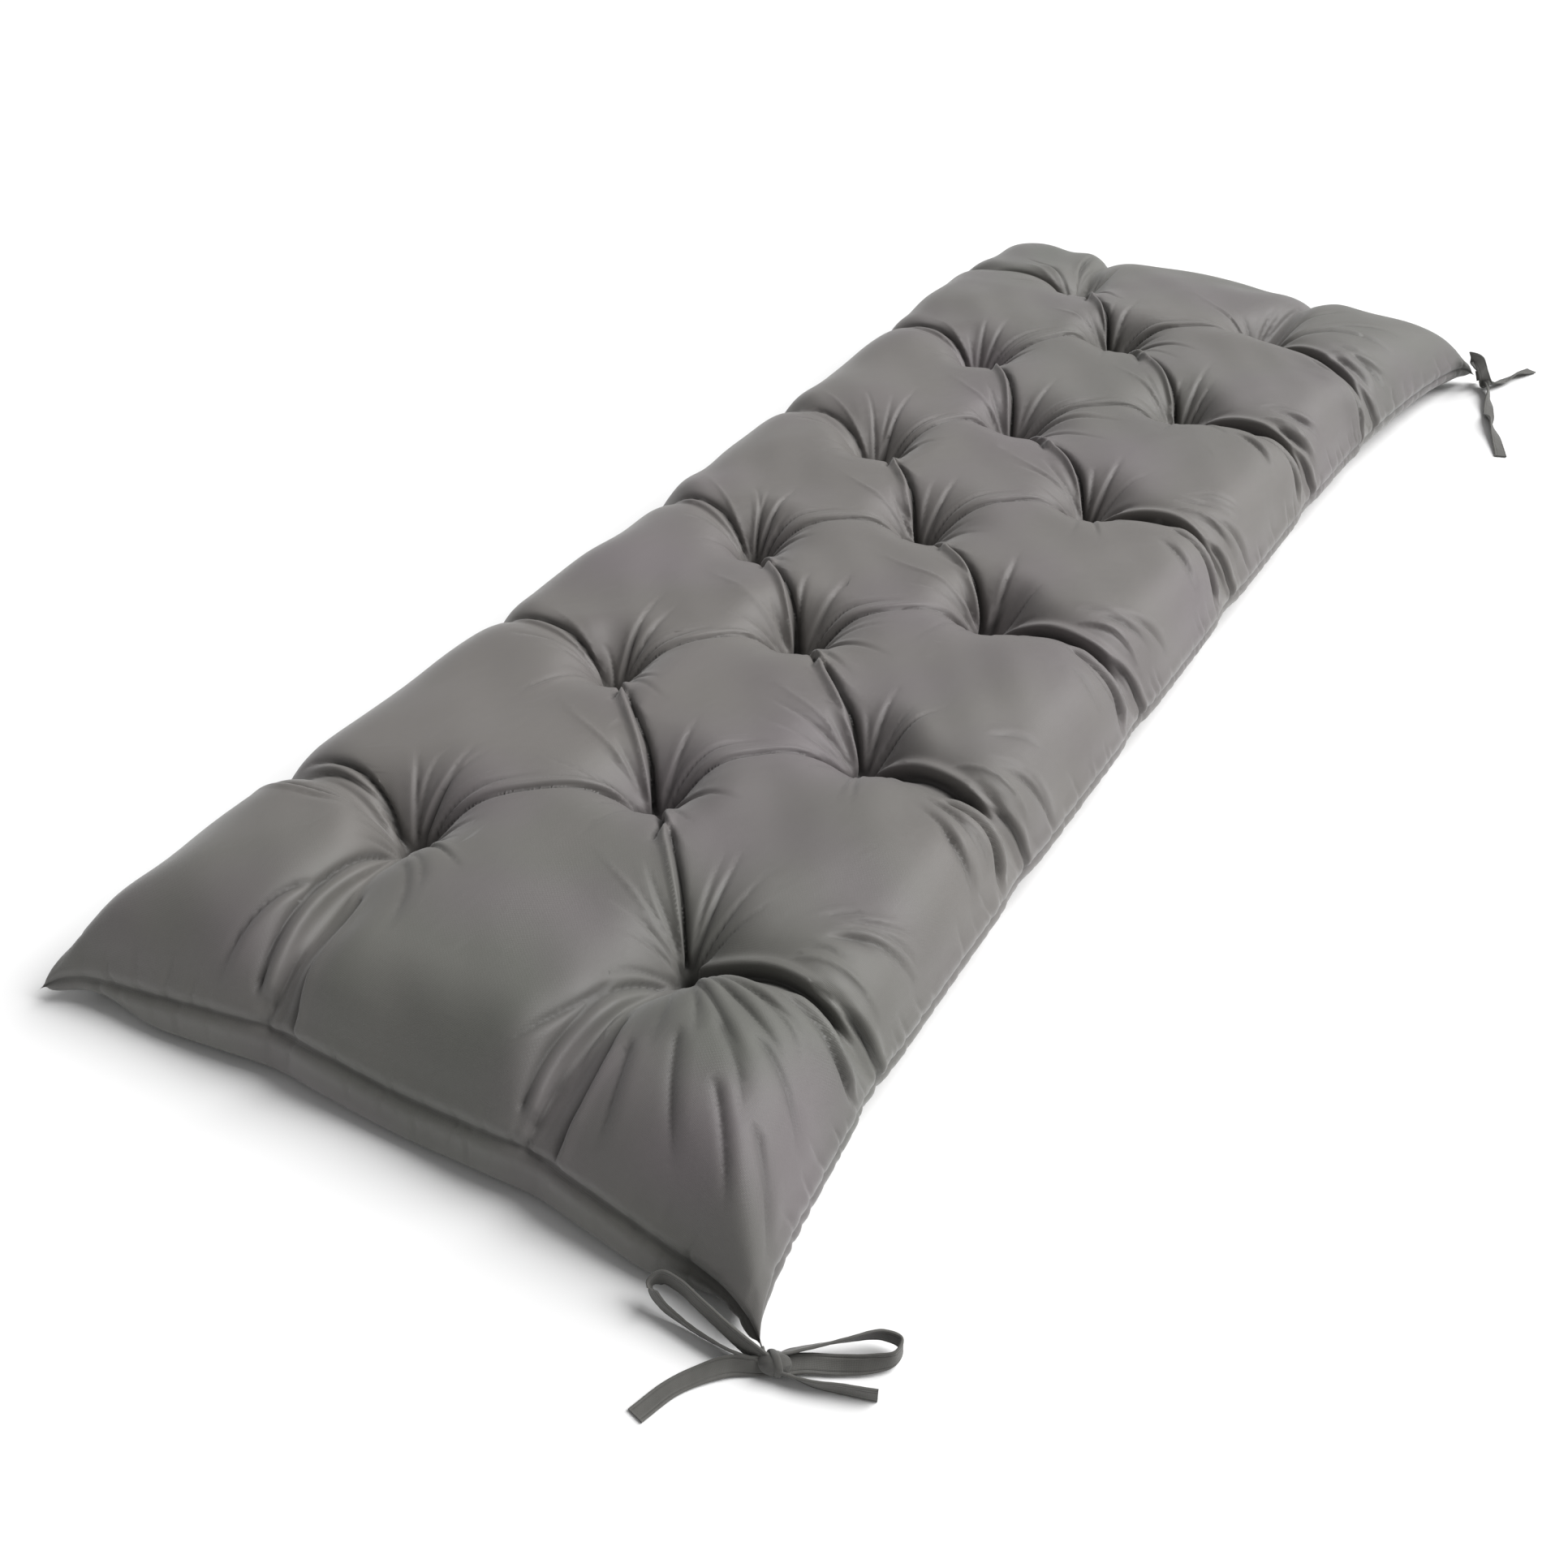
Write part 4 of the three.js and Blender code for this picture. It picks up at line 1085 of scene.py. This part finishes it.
def shade_group(name):
    """Large soft changes of colour over the cloth: a cooler, darker tone in random patches and as painted
    shade towards both ends, warm patches, and painted shade in the creases.
    """
    group, start, end = new_group(
        name,
        [("Place", "NodeSocketVector", None), ("Main", "NodeSocketColor", GREY),
         ("Cool", "NodeSocketColor", GREY), ("Warm", "NodeSocketColor", GREY),
         ("Thread tone", "NodeSocketFloat", 0.5), ("Crease", "NodeSocketFloat", 0.0)],
        [("Color", "NodeSocketColor"), ("Dulling", "NodeSocketFloat")])
    place = start.outputs["Place"]
    apart = group.nodes.new("ShaderNodeSeparateXYZ")
    feed(group, apart.inputs[0], place)
    from_middle = math_node(group, "ABSOLUTE", apart.outputs["Y"])
    # Painted shade, darker towards both ends.
    painted_end_shade = math_node(group, "MULTIPLY_ADD", from_middle, *END_SHADE_LEVELS)
    patchy = math_node(group, "MULTIPLY_ADD", noise(group, place, COOL_PATCHES), *COOL_LEVELS)
    cool_and_end_shade = math_node(group, "ADD", patchy, painted_end_shade, clamp=True)
    colour = mix_colours(group, cool_and_end_shade, start.outputs["Main"], start.outputs["Cool"])
    warm = noise(group, place, WARM_PATCHES, 1.0)
    warm = math_node(group, "MULTIPLY_ADD", warm, *WARM_LEVELS, clamp=True)
    warm = math_node(group, "MULTIPLY", warm, WARM_SHARE)
    colour = mix_colours(group, warm, colour, start.outputs["Warm"])
    dark = mix_colours(group, THREAD_SHARE, colour, BLACK)
    colour = mix_colours(group, start.outputs["Thread tone"], dark, colour)
    # Painted shade: deep creases take a near-black colour.
    painted_crease_shade = math_node(group, "MULTIPLY", start.outputs["Crease"], PAINTED_CREASE_SHADE_SHARE)
    feed(group, end.inputs["Color"], mix_colours(group, painted_crease_shade, colour, PAINTED_CREASE_SHADE_COLOUR))
    feed(group, end.inputs["Dulling"], noise(group, place, DULL_PATCHES, 3.0, 0.6))
    return group


def group_node(tree, name, make_group):
    """A node of a group that is made once and shared by the materials."""
    node = tree.nodes.new("ShaderNodeGroup")
    node.node_tree = bpy.data.node_groups.get(name) or make_group(name)
    return node


def cloth_material(name, main, cool_and_end_shade, warm, roughness, sheen, finish):
    """Woven cloth: shade from its place, threads and slubs from the piece's UV map in metres."""
    material = bpy.data.materials.new(name)
    material.use_nodes = True
    tree = material.node_tree
    shader = tree.nodes["Principled BSDF"]
    coords = tree.nodes.new("ShaderNodeTexCoord")
    threads = group_node(tree, "Plain weave", weave_group)
    tones = group_node(tree, "Cloth shade", shade_group)
    feed(tree, threads.inputs["Threads per metre"], 1 / finish.thread_pitch)
    feed(tree, threads.inputs["Vector"], coords.outputs["UV"])
    for label, colour in (("Main", main), ("Cool", cool_and_end_shade), ("Warm", warm)):
        feed(tree, tones.inputs[label], (*colour, 1))
    feed(tree, tones.inputs["Place"], coords.outputs["Object"])
    # Painted shade of the creases, read from the crease attribute.
    crease_shade_mask = tree.nodes.new("ShaderNodeAttribute")
    crease_shade_mask.attribute_name = "crease"
    feed(tree, tones.inputs["Crease"], crease_shade_mask.outputs["Fac"])
    feed(tree, tones.inputs["Thread tone"], threads.outputs["Thread tone"])
    feed(tree, shader.inputs["Base Color"], tones.outputs["Color"])
    least = roughness - DULL_SWING / 2
    dullness = math_node(tree, "MULTIPLY_ADD", tones.outputs["Dulling"], DULL_SWING, least)
    feed(tree, shader.inputs["Roughness"], dullness)
    bump = tree.nodes.new("ShaderNodeBump")
    for label, value in (("Distance", finish.weave_depth), ("Strength", 1.0),
                         ("Height", threads.outputs["Height"])):
        feed(tree, bump.inputs[label], value)
    feed(tree, shader.inputs["Normal"], bump.outputs[0])
    shader.inputs["Sheen Weight"].default_value = sheen
    shader.inputs["Sheen Roughness"].default_value = 0.45
    shader.inputs["Specular IOR Level"].default_value = 0.4
    return material


def cover_cloth(finish):
    return cloth_material(
        "cover_cloth", finish.cover_colour, finish.cool_and_end_shade_colour, finish.warm_colour,
        finish.cover_roughness, 0.25, finish)


def tie_cloth(finish):
    # The darker tape colour takes the place of the cover's darker tone, so the ties get the painted shade
    # towards the ends too.
    darker = [0.88 * channel for channel in finish.tape_colour]
    return cloth_material(
        "tie_tape", finish.tape_colour, darker, finish.tape_colour, finish.tape_roughness, 0.2, finish)


def plain_material(name, colour, roughness):
    """A matt surface with a faint cloud in its colour."""
    material = bpy.data.materials.new(name)
    material.use_nodes = True
    tree = material.node_tree
    shader = tree.nodes["Principled BSDF"]
    coords = tree.nodes.new("ShaderNodeTexCoord")
    cloud = noise(tree, coords.outputs["Object"], 1.5)
    darker = tuple(0.97 * channel for channel in colour)
    feed(tree, shader.inputs["Base Color"], mix_colours(tree, cloud, (*colour, 1), (*darker, 1)))
    shader.inputs["Roughness"].default_value = roughness
    return material


# ---------------------------------------------------------------- operators
class CUSHION_OT_cover(bpy.types.Operator):
    """Make the filled and tufted cover"""

    bl_idname = "cushion.cover"
    bl_label = "Cover"

    def execute(self, context):
        scene = context.scene
        form = CushionForm(scene.cushion_sizes)
        passes = PASSES
        top, under, s, t = settle_cloth(form, scene.cushion_cloth, passes)
        panels = (top, under, s, t, np.zeros(top.shape[:2]), np.zeros(top.shape[:2]))
        panels = crease_cloth(form, scene.cushion_cloth, top, under)
        cover = cover_mesh("cover", *panels)
        thin_mesh(cover, scene.cushion_cloth.most_triangles)
        cover.data.materials.append(cover_cloth(scene.cushion_finish))
        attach(cover, "root")
        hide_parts(COVER_NODE)
        return {"FINISHED"}


def make_tape(scene, name, node, route, wave):
    """One tape of a tie as a cord, on the same body as its knot."""
    middle = CushionForm(scene.cushion_sizes).middle
    line, length, vertices, faces, uvs, caps = tape_mesh(route, scene.cushion_ties, middle, wave)
    tape = link_mesh(name, vertices, faces, uvs, caps)
    tape.data.materials.append(tie_cloth(scene.cushion_finish))
    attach(tape, "root")
    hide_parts(node)


# A knot is a pinched ball in a wrap of tape: their shares of its width and height, and the pinches.
BALL_SHARE, WRAP_SHARE = 0.92, 0.86
PINCH, PINCHES_ROUND, PINCH_TWIST = 0.10, 5, 9
WRAP_TAPES = 2.3              # how wide the wrap is, in tape widths
WRAP_LEAN = math.radians(12)
BALL_SEGMENTS, BALL_RINGS = 40, 24
WRAP_SEGMENTS, WRAP_SIDES, WRAP_THICKNESS = 48, 14, 0.09


def pinch_ball(ball, length):
    """Draws a ball in along twisted grooves, most at its ends."""
    for vertex in ball.data.vertices:
        place = vertex.co
        turn = PINCHES_ROUND * math.atan2(place.z, place.y) + PINCH_TWIST * place.x / length
        share = abs(place.x) / (length / 2)
        pinch = 1 - PINCH * (0.5 + 0.5 * math.cos(turn)) * (0.3 + 0.7 * share)
        place.y *= pinch
        place.z *= pinch


def make_knot(scene, name, node, sizes):
    """A pulled-tight knot: a squashed ball with a wrap of tape round it."""
    middle = CushionForm(scene.cushion_sizes).middle
    place = (Vector(sizes[:3]) - Vector(middle)) * MM
    length, width, height = (size * MM for size in sizes[3:6])
    bpy.ops.object.select_all(action="DESELECT")
    bpy.ops.mesh.primitive_uv_sphere_add(segments=BALL_SEGMENTS, ring_count=BALL_RINGS, radius=0.5)
    knot = bpy.context.object
    knot.name = name
    knot.data.name = name
    knot.scale = (length, width * BALL_SHARE, height * BALL_SHARE)
    bpy.ops.object.transform_apply(location=False, rotation=False, scale=True)
    pinch_ball(knot, length)
    bpy.ops.object.select_all(action="DESELECT")
    bpy.ops.mesh.primitive_torus_add(
        major_segments=WRAP_SEGMENTS, minor_segments=WRAP_SIDES, major_radius=0.5,
        minor_radius=WRAP_THICKNESS)
    wrap = bpy.context.object
    wrap.rotation_euler = (0, math.radians(90), WRAP_LEAN)
    bpy.ops.object.transform_apply(location=False, rotation=True, scale=False)
    wrap.scale = (WRAP_TAPES * scene.cushion_ties.tape_width, width * WRAP_SHARE, height * WRAP_SHARE)
    bpy.ops.object.transform_apply(location=False, rotation=False, scale=True)
    knot.select_set(True)
    wrap.select_set(True)
    bpy.context.view_layer.objects.active = knot
    bpy.ops.object.join()
    knot.rotation_euler = (0, 0, math.radians(sizes[6]))
    knot.location = place
    bpy.ops.object.transform_apply(location=True, rotation=True, scale=True)
    if min(vertex.co.z for vertex in knot.data.vertices) < 0:
        for vertex in knot.data.vertices:
            vertex.co.z = max(vertex.co.z, FLOOR_GAP)
    bpy.ops.object.shade_smooth()
    knot.data.materials.append(tie_cloth(scene.cushion_finish))
    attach(knot, "root")
    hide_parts(node)
    bpy.ops.object.select_all(action="DESELECT")
    return knot


class CUSHION_OT_near_tie(bpy.types.Operator):
    """Make the bow at the near right corner"""

    bl_idname = "cushion.near_tie"
    bl_label = "Near tie"

    def execute(self, context):
        scene = context.scene
        knot = make_knot(scene, "near_knot", NEAR_TIE_NODE, NEAR_KNOT)
        make_tape(scene, "near_loop_and_tail", NEAR_TIE_NODE, NEAR_LOOP_AND_TAIL, 0.0)
        make_tape(scene, "near_side_loop_and_tail", NEAR_TIE_NODE, NEAR_SIDE_LOOP_AND_TAIL, 2.0)
        return {"FINISHED"}


class CUSHION_OT_far_tie(bpy.types.Operator):
    """Make the knotted tie at the far right corner"""

    bl_idname = "cushion.far_tie"
    bl_label = "Far tie"

    def execute(self, context):
        scene = context.scene
        knot = make_knot(scene, "far_knot", FAR_TIE_NODE, FAR_KNOT)
        make_tape(scene, "far_ring_and_tail", FAR_TIE_NODE, FAR_RING_AND_TAIL, 1.0)
        make_tape(scene, "far_tail", FAR_TIE_NODE, FAR_TAIL, 3.0)
        return {"FINISHED"}


class CUSHION_OT_camera(bpy.types.Operator):
    """Set up the camera"""

    bl_idname = "cushion.camera"
    bl_label = "Camera"

    def execute(self, context):
        stage = context.scene.cushion_stage
        camera = bpy.data.objects.new("camera", bpy.data.cameras.new("camera"))
        context.scene.collection.objects.link(camera)
        camera.location = stage.camera_place
        camera.rotation_euler = stage.camera_turn
        camera.data.sensor_width = 36
        camera.data.lens = stage.camera_lens
        camera.data.clip_start = 0.01
        camera.data.dof.use_dof = False
        context.scene.camera = camera
        return {"FINISHED"}


# Where the lights stand and look, in metres.
KEY_PLACE, BACK_PLACE, LIGHT_TARGET = (1.5, 1.3, 2.3), (-0.3, 2.4, 1.5), Vector((0.0, 0.0, 0.03))
BACK_SIZE, FLOOR_SIZE = 1.6, 30


def add_light(scene, name, kind, place, power):
    """A light that is turned to the cushion."""
    light = bpy.data.lights.new(name, kind)
    light.energy = power
    holder = bpy.data.objects.new(name, light)
    scene.collection.objects.link(holder)
    holder.location = place
    holder.rotation_euler = (LIGHT_TARGET - Vector(place)).to_track_quat("-Z", "Y").to_euler()
    return holder


class CUSHION_OT_stage(bpy.types.Operator):
    """Make the floor and the studio lights"""

    bl_idname = "cushion.stage"
    bl_label = "Stage"

    def execute(self, context):
        scene, stage = context.scene, context.scene.cushion_stage
        bpy.ops.object.select_all(action="DESELECT")
        bpy.ops.mesh.primitive_plane_add(size=FLOOR_SIZE, location=(0, 0, 0))
        floor = context.object
        floor.name = "floor"
        floor.data.materials.append(plain_material("floor", stage.floor_colour, 0.9))
        key = add_light(scene, "key_light", "SUN", KEY_PLACE, stage.key_strength)
        key.data.angle = stage.key_spread
        back = add_light(scene, "back_light", "AREA", BACK_PLACE, stage.back_power)
        back.data.size = BACK_SIZE
        world = bpy.data.worlds.new("studio")
        scene.world = world
        world.use_nodes = True
        sky = world.node_tree.nodes["Background"]
        sky.inputs["Color"].default_value = (1, 1, 1, 1)
        sky.inputs["Strength"].default_value = stage.sky_strength
        scene.view_settings.view_transform = "Standard"
        return {"FINISHED"}


class CUSHION_PT_panel(bpy.types.Panel):
    """Lists the cushion's sizes, finishes and steps"""

    bl_idname = "CUSHION_PT_panel"
    bl_label = "Tufted cushion"
    bl_space_type = "VIEW_3D"
    bl_region_type = "UI"
    bl_category = "Cushion"

    def draw(self, context):
        for name, group in GROUPS:
            box = self.layout.box()
            for field in group.__annotations__:
                box.prop(getattr(context.scene, name), field)
        for operator in OPERATORS:
            self.layout.operator(operator.bl_idname)


GROUPS = [
    ("cushion_sizes", CushionSizes), ("cushion_cloth", ClothBehaviour),
    ("cushion_finish", ClothFinish), ("cushion_ties", TieSizes), ("cushion_stage", StageSizes),
]
OPERATORS = [
    CUSHION_OT_camera, CUSHION_OT_near_tie, CUSHION_OT_far_tie, CUSHION_OT_cover, CUSHION_OT_stage,
]


def register():
    for _, group in GROUPS:
        bpy.utils.register_class(group)
    for operator in OPERATORS:
        bpy.utils.register_class(operator)
    bpy.utils.register_class(CUSHION_PT_panel)
    for name, group in GROUPS:
        setattr(bpy.types.Scene, name, PointerProperty(type=group))


def unregister():
    for name, _ in GROUPS:
        delattr(bpy.types.Scene, name)
    bpy.utils.unregister_class(CUSHION_PT_panel)
    for operator in reversed(OPERATORS):
        bpy.utils.unregister_class(operator)
    for _, group in reversed(GROUPS):
        bpy.utils.unregister_class(group)


def main():
    register()
    bpy.ops.cushion.camera()
    bpy.ops.cushion.near_tie()
    bpy.ops.cushion.far_tie()
    bpy.ops.cushion.cover()
    bpy.ops.cushion.stage()
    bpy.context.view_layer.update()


if __name__ == "__main__":
    main()
